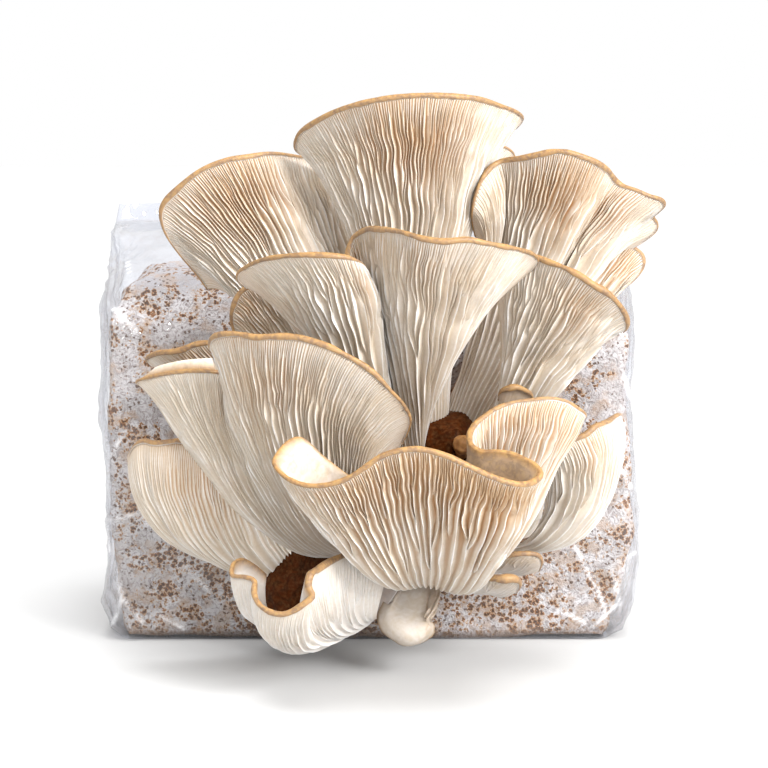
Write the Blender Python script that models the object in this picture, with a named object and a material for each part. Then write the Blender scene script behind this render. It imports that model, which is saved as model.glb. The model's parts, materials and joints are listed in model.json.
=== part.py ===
"""Oyster mushroom grow kit: a block of sawdust bound by white mycelium, shut in a clear film bag, with a
cluster of oyster mushrooms grown out through a slit in the front of the bag. X runs right, +Y back and +Z
up. The origin is the centre of the bag's flat base, and the cluster leans out over the front, at -Y."""

import math

import bmesh
import bpy
import numpy as np

for leftover in list(bpy.data.objects):
    bpy.data.objects.remove(leftover)

# Driving dimensions, in millimetres
MM = 0.001
GAP = 0.3                        # between pieces that rest or grow against one another
FILM = 0.5                       # wall of the bag
SEAM_LOW, SEAM_HIGH = 184, 192   # heat-sealed strip along the top of the bag
BLOCK_HALF = (111.5, 55.5)       # substrate block, half width and half depth at its middle
BLOCK_BASE = 1.0
BLOCK_TOP = 163
TRUNK_CENTRE = (24, -57.6, 66)   # fused base of the stems, on the front face of the block
TRUNK_RADII = (54, 36, 42)
ROOT_REACH = 0.62                # how deep in the fused base a stem starts, 1 being its surface
RIDGE = 1.8                      # height of a fused band of gills at its deepest
LIP = 2.0                        # thickness of a cap at its rim
TIGHT = 0.8                      # how much closer a cap's ribs stand where its rim turns
STEM_FLATNESS = 0.8              # depth of a stem's section over its width

# Outline of the bag at each height: (height, left, right, front, back, corner radius)
BAG_LEVELS = [
    (0, -112, 106, -57, 57, 12),
    (4, -116, 112, -59, 59, 13),
    (15, -121.5, 118, -60, 60, 12),
    (34, -119, 121.5, -60.5, 60, 12),
    (72, -119, 119, -60.5, 60, 12),
    (112, -120.5, 115.5, -60.5, 60, 12),
    (134, -120, 118, -60, 59.5, 13),
    (150, -121, 117, -57, 57, 15),
    (160, -118.5, 116, -50, 50, 15),
    (170, -116.5, 117, -37, 39, 15),
    (178, -120, 116.5, -23, 25, 12),
    (SEAM_LOW, -118, 116, -3, 3, 2.5),
    (SEAM_HIGH, -117, 116, -1.3, 1.3, 1.2),
]

# Folds of loose film: (side, place along it 0 to 1, half width, lowest, highest, how far out in mm)
FILM_FOLDS = [
    ("front", 0.10, 0.08, 120, 182, 3.0),
    ("front", 0.90, 0.08, 130, 182, 2.5),
    ("front", 0.93, 0.05, 6, 60, 1.6),
    ("front", 0.07, 0.05, 6, 60, 1.6),
    ("back", 0.30, 0.09, 110, 182, 3.0),
    ("back", 0.72, 0.09, 100, 182, 3.0),
    ("left", 0.50, 0.25, 6, 150, -2.0),
    ("right", 0.50, 0.25, 6, 150, -2.0),
]

# Each mushroom: its stem starts in the fused base (root), turns at bend and opens round hub to the rim,
# whose points run from left to right as seen by someone who looks at the gills. stem and neck are
# half widths, flare is how far the wall leans out before the rim, flesh its thickness at the neck.
CAPS = {
    "mushroom_crown_back": dict(
        root=(26, -66, 89.5), bend=(14.5, -71, 142), hub=(21.5, -67, 181),
        stem=6, neck=11, flare=0.5, flesh=4, ridges=6, rows=6,
        rim=[
            (-16, -58, 200), (-14.5, -60, 208.5), (-4.5, -62, 217.5), (10.5, -64, 222),
            (26, -65, 224.5), (41, -64, 224.5), (52, -62, 223), (58.5, -60, 222), (62.5, -58, 219.5),
            (64, -55, 216.5)
        ]),
    "mushroom_crown": dict(
        root=(26, -80, 93), bend=(18, -97, 136.5), hub=(18, -102, 194.5),
        stem=9, neck=14.5, flare=0.42, flesh=5, ridges=12, rows=7,
        rim=[
            (-17.5, -84, 215.5), (-27.5, -90, 218.5), (-32.5, -98, 222.5), (-30.5, -107, 229.5),
            (-20.5, -117, 236.5), (-10, -124, 241), (4, -130, 244.5), (17.5, -132, 246),
            (31, -131, 246), (45, -126, 244.5), (55.5, -117, 241), (62.5, -106, 238), (65, -97, 235),
            (61.5, -88, 230), (54.5, -82, 226)
        ]),
    "mushroom_upper_left": dict(
        root=(12, -76, 89.5), bend=(-10, -82, 121.5), hub=(-37.5, -86, 173),
        stem=7.5, neck=13, flare=0.45, flesh=5, ridges=11, rows=7,
        rim=[
            (-71, -84, 161), (-75, -86, 167), (-81.5, -90, 175.5), (-86.5, -93, 183),
            (-89, -95, 188.5), (-90, -97, 195.5), (-88, -99, 200.5), (-82.5, -101, 206),
            (-72, -103, 214), (-61, -103, 218.5), (-52, -101, 220), (-42.5, -96, 221),
            (-32.5, -86, 219.5), (-22.5, -76, 216.5), (-16.5, -70, 212), (-12, -65, 206.5),
            (-11, -62, 201.5)
        ]),
    "mushroom_upper_right": dict(
        root=(41, -77, 97.5), bend=(57.5, -85, 136), hub=(72.5, -92, 173.5),
        stem=9, neck=15, flare=0.45, flesh=5, ridges=12, rows=7,
        rim=[
            (44, -102, 185.5), (42.5, -106, 192), (42.5, -112, 198), (45, -113, 207.5),
            (49, -111, 214.5), (54, -107, 218), (61.5, -111, 219.5), (68, -114, 221),
            (75, -116, 222.5), (81.5, -117, 222.5), (88.5, -116, 220.5), (96, -113, 217.5),
            (101, -107, 214), (104, -101, 210.5), (106.5, -100, 208), (112, -103, 206),
            (118.5, -103, 203), (124, -100, 201), (126, -95, 198.5), (124, -88, 195),
            (122.5, -83, 192.5), (124.5, -79, 189.5), (124.5, -76, 186), (120, -73, 181.5),
            (115, -71, 178)
        ]),
    "mushroom_upper_right_back": dict(
        root=(48.5, -66, 89.5), bend=(72.5, -69, 123), hub=(90.5, -71, 152.5),
        stem=5, neck=9, flare=0.45, flesh=4, ridges=5, rows=6,
        rim=[
            (99, -63, 185), (108.5, -63, 182.5), (116.5, -63, 178), (120.5, -64, 174),
            (120.5, -65, 169.5), (118, -66, 165.5), (114.5, -67, 162)
        ]),
    "mushroom_centre": dict(
        root=(19.5, -92, 79), bend=(16.5, -114, 95), hub=(12.5, -132, 141),
        stem=10, neck=17, flare=0.62, flesh=5, ridges=14, rows=7,
        rim=[
            (-52, -128, 166.5), (-55, -132, 170), (-55, -136, 173), (-51, -142, 176.5),
            (-44, -149, 180), (-35.5, -155, 182), (-25.5, -159, 183), (-16, -160, 183),
            (-8, -157, 182), (-3.5, -152, 179.5), (-2, -146, 176), (-5, -141, 174.5),
            (-8, -137, 176.5), (-9.5, -133, 181.5), (-8, -131.5, 187.5), (-5, -134, 190.5),
            (-1, -140, 192.5), (4, -149, 193), (9, -158, 193), (13.5, -165, 192.5),
            (21.5, -170, 190.5), (30, -171, 189.5), (39.5, -169, 190), (46, -167, 188.5),
            (54.5, -162, 186.5), (61.5, -155, 184.5), (67, -146, 182), (69.5, -137, 178.5),
            (67.5, -130, 174)
        ]),
    "mushroom_centre_left_back": dict(
        root=(6, -84, 79.5), bend=(-13, -98, 103), hub=(-34.5, -100, 143),
        stem=6, neck=10, flare=0.5, flesh=4, ridges=6, rows=6,
        rim=[
            (-52, -102, 135.5), (-56.5, -104, 140.5), (-59, -106, 147), (-59.5, -109, 153),
            (-57.5, -112, 160), (-52.5, -115, 165.5), (-42, -119, 169.5), (-29, -122, 171)
        ]),
    "mushroom_right": dict(
        root=(49.5, -86, 86), bend=(57, -106, 103), hub=(66.5, -114, 138.5),
        stem=9, neck=14, flare=0.42, flesh=5, ridges=10, rows=7,
        rim=[
            (48.5, -112, 175.5), (54, -118, 179.5), (61, -126, 181), (68.5, -132, 180),
            (74.5, -136, 178), (80, -139, 176), (85.5, -141, 173.5), (91.5, -142, 169.5),
            (97.5, -141, 166), (102.5, -138, 161), (106.5, -133, 155.5), (108, -128, 151),
            (107, -121, 147.5), (103, -113, 145.5), (98.5, -106, 142.5), (95.5, -101, 138.5)
        ]),
    "mushroom_left": dict(
        root=(11, -86, 69), bend=(-18.5, -110, 12.5), hub=(-59.5, -132, 74.5),
        stem=11, neck=17, flare=0.6, flesh=4, ridges=14, rows=7,
        rim=[
            (-94, -110, 122), (-99, -114, 124.5), (-98.5, -118, 126), (-94.5, -122, 128),
            (-88.5, -126, 130), (-79, -129, 132), (-69.5, -129.5, 132.5), (-62, -127, 131.5),
            (-57, -123.5, 129.5), (-54, -126.5, 130), (-57.5, -131, 133), (-63, -136, 139),
            (-66.5, -141.5, 144.5), (-64.5, -148, 149), (-58, -154.5, 151), (-52, -158, 151),
            (-46.5, -162, 150.5), (-40, -165, 151), (-34, -167, 151.5), (-27.5, -169, 151),
            (-21.5, -170, 149.5), (-15.5, -171, 147.5), (-10, -171, 144.5), (-3.5, -171, 141),
            (2.5, -170, 136.5), (8.5, -168, 129.5), (14, -165, 123), (17, -161, 116.5),
            (16, -156, 110.5), (13, -150, 103.5)
        ]),
    "mushroom_left_back": dict(
        root=(9.5, -75, 70.5), bend=(-21.5, -84, 90), hub=(-56, -98, 115),
        stem=5.5, neck=9, flare=0.5, flesh=4, ridges=5, rows=6,
        rim=[
            (-95, -92, 129), (-97, -95, 132), (-95.5, -99, 134), (-91.5, -103, 136), (-86, -107, 137),
            (-80.5, -110, 138.5), (-75, -112, 141), (-69, -113, 142), (-62.5, -112, 141.5),
            (-56, -108, 138)
        ]),
    "mushroom_lower_left": dict(
        root=(9.5, -75, 54.5), bend=(-48, -84, 30.5), hub=(-109, -108, 3),
        stem=8, neck=12, flare=0.6, flesh=4, ridges=9, rows=8,
        rim=[
            (-101.5, -92, 87), (-104.5, -97, 89.5), (-103, -101, 94), (-100, -104, 98),
            (-96, -106, 99.5), (-93, -108, 99), (-87.5, -110, 99.5), (-80.5, -109, 100),
            (-72.5, -106, 98.5), (-65.5, -102, 95.5), (-58, -98, 90.5), (-50.5, -94, 84.5),
            (-43, -91, 76), (-36, -89, 67)
        ]),
    "mushroom_front": dict(
        root=(31, -90, 58.5), bend=(32, -136, 7), hub=(31.5, -168, 60.5),
        stem=12, neck=17, flare=0.87, flesh=4, ridges=15, rows=8,
        rim=[
            (-9.5, -168, 95), (-16.5, -170, 100.5), (-23.5, -173, 107), (-28.5, -177, 111.5),
            (-32.5, -181, 111), (-36, -185, 108), (-38.5, -189, 103.5), (-34, -193, 98.5),
            (-27, -196, 96), (-19, -198, 96), (-9.5, -200, 99), (-2.5, -201, 103.5),
            (4.5, -202, 108.5), (12, -203, 111), (19.5, -203, 111.5), (29.5, -203, 109),
            (39, -202, 104.5), (49, -199, 99.5), (59, -195, 96), (65.5, -190, 96), (69, -185, 98.5),
            (67, -181, 101.5), (62, -178, 104), (56.5, -176, 106), (50, -175, 106.5),
            (45, -174, 106.5), (41.5, -171, 108.5), (41, -167, 112), (43, -163, 115.5),
            (47, -160, 118.5), (52, -158, 121.5), (58, -156, 123), (65, -155, 124), (73, -154, 124.5),
            (80, -152, 123), (85.5, -149, 119.5), (89, -145, 116), (87.5, -139, 112), (84, -134, 108)
        ]),
    "mushroom_lower_right": dict(
        root=(46, -80, 62.5), bend=(77, -88, 21.5), hub=(121.5, -110, 62.5),
        stem=9, neck=14, flare=0.5, flesh=5, ridges=8, rows=7,
        rim=[
            (59.5, -120, 94.5), (66.5, -128, 102.5), (73, -132, 102.5), (79.5, -133, 103),
            (85.5, -133, 104.5), (90, -132, 106.5), (93, -130, 109), (96.5, -127, 110),
            (99.5, -123, 110.5), (103, -117, 111.5), (105.5, -111, 111.5), (105, -103, 108.5),
            (102.5, -97, 104.5)
        ]),
    "mushroom_bottom": dict(
        root=(14.5, -84, 43.5), bend=(-15.5, -108, -7.5), hub=(-54.5, -146, -26),
        stem=9, neck=12.5, flare=0.6, flesh=4.5, ridges=11, rows=8,
        rim=[
            (-43, -146, 49.5), (-48, -149, 54.5), (-52.5, -152, 57.5), (-56.5, -157, 56.5),
            (-56.5, -162, 53), (-51, -168, 53.5), (-47, -172, 53), (-47, -178, 50), (-44.5, -184, 46),
            (-39.5, -188, 43.5), (-34, -190, 43), (-29, -191, 45), (-24.5, -191, 48),
            (-21.5, -190, 50.5), (-23, -189, 54.5), (-22.5, -188, 58.5), (-20, -176, 58.5),
            (-15.5, -165, 59.5), (-10, -153, 59.5), (-4.5, -145, 59), (1.5, -137, 56),
            (7.5, -129, 52.5)
        ]),
    "mushroom_small_bottom": dict(
        root=(27, -80, 28.5), bend=(21, -108, 33), hub=(17, -120, 29.5),
        stem=6.5, neck=11.5, flare=0.6, flesh=4, ridges=5, rows=6,
        rim=[
            (6, -114, 30), (4, -117, 24.5), (6, -120, 20), (11, -123, 17), (16, -124, 15),
            (22, -123, 16.5), (25.5, -120, 19.5), (24, -124, 24.5), (26.5, -123, 28), (28.5, -116, 31)
        ]),
    "mushroom_small_curl": dict(
        root=(41.5, -90, 70), bend=(50, -112, 94.5), hub=(59.5, -123, 112.5),
        stem=4, neck=6, flare=0.6, flesh=3, ridges=3, rows=5,
        rim=[
            (54.5, -127, 117.5), (53, -130, 121), (54, -133, 124), (57, -135, 125.5), (61, -135, 126),
            (64.5, -133, 124.5), (68, -129, 121.5), (67, -125, 118)
        ]),
    "mushroom_small_right_upper": dict(
        root=(43.5, -76, 50), bend=(48.5, -90, 29), hub=(57, -100, 36.5),
        stem=4, neck=6, flare=0.7, flesh=3, ridges=4, rows=6,
        rim=[
            (51.5, -102, 41), (54.5, -106, 45.5), (59.5, -109, 49.5), (65.5, -110, 50.5),
            (72, -108, 49.5), (74.5, -104, 46), (73.5, -99, 40.5)
        ]),
    "mushroom_small_right_lower": dict(
        root=(35, -80, 41), bend=(45, -98, 20), hub=(53, -108, 29.5),
        stem=4, neck=6, flare=0.7, flesh=3, ridges=4, rows=6,
        rim=[
            (44.5, -109, 36.5), (47, -113, 40), (51.5, -117, 41.5), (57, -119, 41.5), (62.5, -117, 41),
            (65, -112, 37.5), (63.5, -107, 33)
        ]),
}

# Buttons that haven't opened: (base, tip, half width of the stem, half width of the head)
PINS = {
    "pin_left": ((33, -88, 76), (34, -112, 89), 2.8, 4.2),
    "pin_right": ((38, -88, 84), (39.5, -107, 99), 2.8, 4.0),
}

# Where two neighbours press together the first keeps its shape and the second gives way
PRESSED = [
    ("mushroom_crown", "mushroom_crown_back"),
    ("mushroom_crown", "mushroom_upper_left"),
    ("mushroom_crown", "mushroom_upper_right"),
    ("mushroom_right", "mushroom_upper_right"),
    ("mushroom_upper_right", "mushroom_upper_right_back"),
    ("mushroom_centre", "mushroom_right"),
    ("mushroom_centre", "mushroom_small_curl"),
    ("mushroom_centre", "mushroom_centre_left_back"),
    ("mushroom_right", "mushroom_small_curl"),
    ("mushroom_upper_left", "mushroom_centre_left_back"),
    ("mushroom_centre_left_back", "mushroom_left_back"),
    ("mushroom_front", "mushroom_left"),
    ("mushroom_bottom", "mushroom_small_bottom"),
    ("mushroom_small_right_upper", "mushroom_small_right_lower"),
    ("mushroom_centre", "pin_left"),
    ("mushroom_small_curl", "pin_left"),
    ("mushroom_centre", "pin_right"),
    ("mushroom_right", "pin_right"),
    ("mushroom_small_curl", "pin_right"),
    ("pin_right", "pin_left"),
]

CREAM = (0.80, 0.70, 0.56)
MYCELIUM = (0.78, 0.74, 0.70)


def material(name, colour, roughness, alpha=1.0):
    made = bpy.data.materials.new(name)
    made.use_nodes = True
    shader = made.node_tree.nodes["Principled BSDF"]
    shader.inputs["Base Color"].default_value = (*colour, 1)
    shader.inputs["Roughness"].default_value = roughness
    shader.inputs["Metallic"].default_value = 0
    shader.inputs["Alpha"].default_value = alpha
    return made


def add_object(name, points, faces, skin):
    """A mesh object of these points, given in millimetres, whose faces already point out."""
    mesh = bpy.data.meshes.new(name)
    mesh.from_pydata([tuple(point) for point in np.asarray(points) * MM], [], [tuple(face) for face in faces])
    made = bpy.data.objects.new(name, mesh)
    bpy.context.scene.collection.objects.link(made)
    work = bmesh.new()
    work.from_mesh(mesh)
    bmesh.ops.triangulate(work, faces=[face for face in work.faces if len(face.verts) > 4])
    work.to_mesh(mesh)
    work.free()
    mesh.materials.append(skin)
    return made


def swollen(made, distance):
    """A hidden copy that stands out from the solid by this many millimetres, used as a cutter."""
    copy = bpy.data.objects.new(made.name + "_cutter", made.data.copy())
    bpy.context.scene.collection.objects.link(copy)
    copy.hide_render = True
    copy.display_type = "WIRE"
    for vertex, normal in zip(copy.data.vertices, [v.normal.copy() for v in copy.data.vertices]):
        vertex.co += normal * distance * MM
    return copy


def cut(target, cutter):
    """Takes the cutter out of the target and throws the cutter away."""
    modifier = target.modifiers.new("cut", "BOOLEAN")
    modifier.operation = "DIFFERENCE"
    modifier.solver = "EXACT"
    modifier.object = cutter
    graph = bpy.context.evaluated_depsgraph_get()
    mesh = bpy.data.meshes.new_from_object(target.evaluated_get(graph))
    target.modifiers.clear()
    target.data = mesh
    bpy.data.objects.remove(cutter)
    work = bmesh.new()
    work.from_mesh(mesh)
    bmesh.ops.remove_doubles(work, verts=work.verts, dist=0.02 * MM)
    bmesh.ops.dissolve_degenerate(work, edges=work.edges, dist=0.01 * MM)
    bmesh.ops.triangulate(work, faces=[face for face in work.faces if len(face.verts) > 3])
    work.to_mesh(mesh)
    work.free()


def unit(vectors):
    return vectors / np.maximum(np.linalg.norm(vectors, axis=-1, keepdims=True), 1e-9)


def smooth_curve(points, places):
    """Points of a centripetal Catmull-Rom curve through these ones, at shares of its length."""
    points = np.asarray(points, float)
    ends = np.vstack([2 * points[0] - points[1], points, 2 * points[-1] - points[-2]])
    pieces = []
    for first in range(len(points) - 1):
        a, b, c, d = ends[first:first + 4]
        knots = np.concatenate([[0], np.cumsum([np.linalg.norm(q - p) ** 0.5 for p, q in ((a, b), (b, c), (c, d))])])
        t = np.linspace(knots[1], knots[2], 24)[:, None]
        ab = ((knots[1] - t) * a + (t - knots[0]) * b) / (knots[1] - knots[0])
        bc = ((knots[2] - t) * b + (t - knots[1]) * c) / (knots[2] - knots[1])
        cd = ((knots[3] - t) * c + (t - knots[2]) * d) / (knots[3] - knots[2])
        abc = ((knots[2] - t) * ab + (t - knots[0]) * bc) / (knots[2] - knots[0])
        bcd = ((knots[3] - t) * bc + (t - knots[1]) * cd) / (knots[3] - knots[1])
        pieces.append(((knots[2] - t) * abc + (t - knots[1]) * bcd) / (knots[2] - knots[1]))
    curve = np.vstack(pieces)
    length = np.concatenate([[0], np.cumsum(np.linalg.norm(np.diff(curve, axis=0), axis=1))])
    return np.stack([np.interp(places, length / length[-1], curve[:, axis]) for axis in range(3)], -1)


def stem_root(cap):
    """The middle of the stem's lower end, drawn into the fused base."""
    reach = (np.array(cap["root"], float) - TRUNK_CENTRE) / TRUNK_RADII
    return TRUNK_CENTRE + reach * TRUNK_RADII * min(1, ROOT_REACH / np.linalg.norm(reach))


def smoothstep(value):
    value = np.clip(value, 0, 1)
    return value * value * (3 - 2 * value)


def half_ring(centre, along, half_width, turn):
    """The gill side of a stem's section, an ellipse across this direction, and which way it faces."""
    across = unit(np.array([1.0, 0, 0]) - along * along[0])
    out = np.cross(across, along)
    section = centre + half_width * (-np.cos(turn) * across + STEM_FLATNESS * np.sin(turn) * out)
    return section, out


def column_places(rim, columns):
    """Where the ribs stand along the rim, closer together where it turns sharply."""
    fine = np.linspace(0, 1, 400)
    curve = smooth_curve(rim, fine)
    along = unit(np.gradient(curve, axis=0))
    turning = np.linalg.norm(np.gradient(along, axis=0), axis=1)
    turning = np.convolve(np.pad(turning, 12, mode="edge"), np.ones(25) / 25, mode="valid")
    reach = np.cumsum(1 + TIGHT * turning / turning.mean())
    reach = (reach - reach[0]) / (reach[-1] - reach[0])
    return np.interp(np.linspace(0, 1, columns), reach, fine)


def mushroom_solid(cap):
    """Points and faces of one mushroom: ribs swept from the stem to the rim, gills fused into a few bands."""
    root, bend, hub = stem_root(cap), np.array(cap["bend"], float), np.array(cap["hub"], float)
    columns, rows = 2 * cap["ridges"] + 1, cap["rows"]
    s = column_places(cap["rim"], columns)
    v = np.linspace(0, 1, rows)[:, None, None]
    rim = smooth_curve(cap["rim"], s)
    turn = math.pi * s[:, None]
    low, low_out = half_ring(root, unit(bend - root), cap["stem"], turn)
    mid, mid_out = half_ring(bend, unit(hub - bend), cap["neck"], turn)
    high = hub + cap["flare"] * (rim - hub)
    floor = (1 - v) ** 3 * low + 3 * v * (1 - v) ** 2 * mid + 3 * v * v * (1 - v) * high + v ** 3 * rim
    facing = unit(np.cross(np.gradient(floor, axis=1), np.gradient(floor, axis=0)))
    side = np.sin(turn)

    # Smooth upper side, which is the back of the stem lower down, flatter where the stem bends sharply
    width = cap["stem"] * (1 - v) + cap["neck"] * v
    fullness = 1 + max(0.1, unit(bend - root) @ unit(hub - bend))
    stem_back = -(fullness * STEM_FLATNESS * width * side + 0.8) * unit(low_out * (1 - v) + mid_out * v)
    cap_back = -facing * (cap["flesh"] * (1 - v) + LIP * v) * (0.3 + 0.7 * side ** 0.7)
    share = smoothstep((v - 0.15) / 0.4)
    back = (floor + stem_back * (1 - share) + cap_back * share)[:, ::2]

    # Its faces are twice as wide as the gill side's, so it stands off more where the cap curls round them
    chord = (floor[:, :-2:2] + floor[:, 2::2]) / 2
    sag = np.maximum(0, ((chord - floor[:, 1::2]) * facing[:, 1::2]).sum(-1, keepdims=True))
    none = np.zeros_like(sag[:, :1])
    back -= facing[:, ::2] * share * np.maximum(np.hstack([sag, none]), np.hstack([none, sag]))

    # Bands of gills, deepest half way up, gone at the rim and down the stem, and lower in a tight fold
    depth = RIDGE * smoothstep(v / 0.35) * smoothstep((1.02 - v) / 0.4) * np.minimum(1, 2.5 * side)
    step = np.gradient(floor, axis=1)
    closing = -(np.gradient(facing, axis=1) * step).sum(-1, keepdims=True) / (step ** 2).sum(-1, keepdims=True)
    depth = np.minimum(depth, 0.3 / np.maximum(closing, 1e-3))
    crest = (np.arange(columns) % 2)[:, None]
    front = floor + facing * depth * crest

    def at(row, column):
        return row * columns + column

    halves = cap["ridges"] + 1

    def behind(row, column):
        return rows * columns + row * halves + column // 2

    faces = []
    for row in range(rows - 1):
        for column in range(columns - 1):
            faces.append((at(row, column), at(row, column + 1), at(row + 1, column + 1)))
            faces.append((at(row, column), at(row + 1, column + 1), at(row + 1, column)))
        for column in range(0, columns - 1, 2):
            faces.append((behind(row, column), behind(row + 1, column + 2), behind(row, column + 2)))
            faces.append((behind(row, column), behind(row + 1, column), behind(row + 1, column + 2)))
        faces.append((at(row, 0), at(row + 1, 0), behind(row + 1, 0)))
        faces.append((at(row, 0), behind(row + 1, 0), behind(row, 0)))
        last = columns - 1
        faces.append((at(row, last), behind(row + 1, last), at(row + 1, last)))
        faces.append((at(row, last), behind(row, last), behind(row + 1, last)))
    for column in range(0, columns - 1, 2):
        a, b, c = (at(0, column + step) for step in range(3))
        under_a, under_c = behind(0, column), behind(0, column + 2)
        faces += [(a, under_a, under_c), (a, under_c, b), (b, under_c, c)]
        a, b, c = (at(rows - 1, column + step) for step in range(3))
        over_a, over_c = behind(rows - 1, column), behind(rows - 1, column + 2)
        faces += [(a, b, over_a), (b, over_c, over_a), (b, c, over_c)]
    return np.concatenate([front.reshape(-1, 3), back.reshape(-1, 3)]), faces


def stack_of_rings(rings, close_low=True, close_high=True):
    """Points and faces of closed rings joined one above another, with a flat end where asked."""
    count = len(rings[0])
    points = np.concatenate(rings)
    faces = []
    for level in range(len(rings) - 1):
        for step in range(count):
            after = (step + 1) % count
            faces.append((level * count + step, level * count + after, (level + 1) * count + after, (level + 1) * count + step))
    if close_low:
        faces.append(tuple(range(count - 1, -1, -1)))
    if close_high:
        faces.append(tuple((len(rings) - 1) * count + step for step in range(count)))
    return points, faces


LONG_STEPS, SHORT_STEPS, CORNER_STEPS = 8, 2, 2


def rounded_outline(left, right, front, back, radius):
    """Outline of the bag at one height, anticlockwise from above, and for each point its side and place."""
    radius = min(radius, (right - left) / 2.2, (back - front) / 2.2)
    corners = [
        (left + radius, front + radius, 180), (right - radius, front + radius, 270),
        (right - radius, back - radius, 0), (left + radius, back - radius, 90),
    ]
    sides = (("front", LONG_STEPS), ("right", SHORT_STEPS), ("back", LONG_STEPS), ("left", SHORT_STEPS))
    points, places = [], []
    for index, (x, y, start) in enumerate(corners):
        for step in range(CORNER_STEPS + 1):
            angle = math.radians(start + 90 * step / CORNER_STEPS)
            points.append((x + radius * math.cos(angle), y + radius * math.sin(angle)))
            places.append(("corner", 0))
        ahead = corners[(index + 1) % 4]
        begin = np.array(points[-1])
        angle = math.radians(ahead[2])
        end = np.array([ahead[0] + radius * math.cos(angle), ahead[1] + radius * math.sin(angle)])
        name, steps = sides[index]
        for step in range(1, steps):
            points.append(tuple(begin + (end - begin) * step / steps))
            places.append((name, step / steps))
    return np.array(points), places


def bag_ring(level, inward):
    """Ring of the film at one level, moved in by this much."""
    height, left, right, front, back, radius = level
    outline, places = rounded_outline(left, right, front, back, radius)
    ring = []
    for (x, y), (name, place) in zip(outline, places):
        for side, middle, half, low, high, out in FILM_FOLDS:
            if side != name or not low <= height <= high:
                continue
            push = out * max(0, 1 - abs(place - middle) / half)
            x += {"left": -push, "right": push}.get(name, 0)
            y += {"front": -push, "back": push}.get(name, 0)
        ring.append((x, y, height))
    ring = np.array(ring)
    along = np.roll(ring, -1, axis=0) - np.roll(ring, 1, axis=0)
    outward = unit(np.stack([along[:, 1], -along[:, 0], 0 * along[:, 0]], -1))
    return ring - inward * outward


def bag_solid():
    """The film as one closed skin, its inside reached only through the slit cut later."""
    outer = [bag_ring(level, 0) for level in BAG_LEVELS]
    inner = [bag_ring(level, FILM) for level in BAG_LEVELS[:-2]]
    inner[0][:, 2] += FILM
    closing = bag_ring((SEAM_LOW - 1, -117, 115, -2.6, 2.6, 2.2), FILM)
    inner.append(closing)
    outer_points, outer_faces = stack_of_rings(outer)
    inner_points, inner_faces = stack_of_rings(inner)
    shift = len(outer_points)
    faces = outer_faces + [tuple(shift + index for index in reversed(face)) for face in inner_faces]
    return np.concatenate([outer_points, inner_points]), faces


def block_solid():
    """The block: a brick with soft corners and a domed, uneven top."""
    rings = []
    steps = 28
    levels = [(0, 0.935, 0.0), (0.015, 0.975, 0.0), (0.06, 1.0, 0.0), (0.3, 1.0, 0.0), (0.6, 0.998, 0.0), (0.84, 0.99, 0.0),
              (0.91, 0.955, 0.2), (0.96, 0.84, 0.6), (1.0, 0.56, 1.0)]
    for share, scale, dome in levels:
        ring = []
        for step in range(steps):
            angle = 2 * math.pi * step / steps
            c, s = math.cos(angle), math.sin(angle)
            x = BLOCK_HALF[0] * scale * math.copysign(abs(c) ** 0.28, c)
            y = BLOCK_HALF[1] * scale * math.copysign(abs(s) ** 0.28, s)
            z = BLOCK_BASE + share * (BLOCK_TOP - BLOCK_BASE) + dome * 2.0 * math.sin(0.05 * x + 1.0)
            ring.append((x, y, z))
        rings.append(np.array(ring))
    points, faces = stack_of_rings(rings, close_high=False)
    top = len(points)
    points = np.vstack([points, [(0, 0, BLOCK_TOP + 1.5)]])
    start = (len(rings) - 1) * steps
    faces += [(start + step, start + (step + 1) % steps, top) for step in range(steps)]
    return points, faces


def trunk_solid():
    """The fused base: half an uneven ellipsoid, flat where it meets the block."""
    steps, rows = 20, 5
    rings = []
    for row in range(rows):
        lift = 0.5 * math.pi * row / rows
        ring = []
        for step in range(steps):
            angle = 2 * math.pi * step / steps
            lump = 1 + 0.02 * math.sin(3 * angle + 1.3) * math.cos(lift)
            ring.append((
                TRUNK_CENTRE[0] + TRUNK_RADII[0] * math.cos(lift) * math.cos(angle) * lump,
                TRUNK_CENTRE[1] - TRUNK_RADII[1] * math.sin(lift),
                TRUNK_CENTRE[2] + TRUNK_RADII[2] * math.cos(lift) * math.sin(angle) * lump,
            ))
        rings.append(np.array(ring))
    points, faces = stack_of_rings(rings, close_high=False)
    tip = len(points)
    points = np.vstack([points, [(TRUNK_CENTRE[0], TRUNK_CENTRE[1] - TRUNK_RADII[1], TRUNK_CENTRE[2])]])
    start = (rows - 1) * steps
    faces += [(start + step, start + (step + 1) % steps, tip) for step in range(steps)]
    return points, faces


def slit_cutter():
    """What is cut out of the front of the film, a little wider than the fused base."""
    rings = []
    for y in (-50, -80):
        ring = []
        for step in range(20):
            angle = 2 * math.pi * step / 20
            ring.append((
                TRUNK_CENTRE[0] + (TRUNK_RADII[0] * 1.02 + 0.8) * math.cos(angle),
                y,
                TRUNK_CENTRE[2] + (TRUNK_RADII[2] * 1.02 + 0.8) * math.sin(angle),
            ))
        rings.append(np.array(ring))
    points, faces = stack_of_rings(rings)
    made = add_object("slit_cutter", points, faces, film)
    made.hide_render = True
    made.display_type = "WIRE"
    return made


def pin_solid(base, tip, stem, head):
    """A button: a short stem that swells to a round head."""
    base, tip = np.array(base, float), np.array(tip, float)
    along = unit(tip - base)
    across = unit(np.cross(along, (0, 0, 1.0)))
    other = np.cross(along, across)
    length = np.linalg.norm(tip - base)
    profile = [(0, stem * 0.9), (0.45, stem), (0.66, stem * 1.05), (0.76, head), (0.88, head * 0.92), (0.97, head * 0.5)]
    rings = []
    for share, radius in profile:
        turn = np.linspace(0, 2 * math.pi, 10, endpoint=False)[:, None]
        rings.append(base + along * length * share + radius * (np.cos(turn) * across + np.sin(turn) * other))
    return stack_of_rings(rings)


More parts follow.
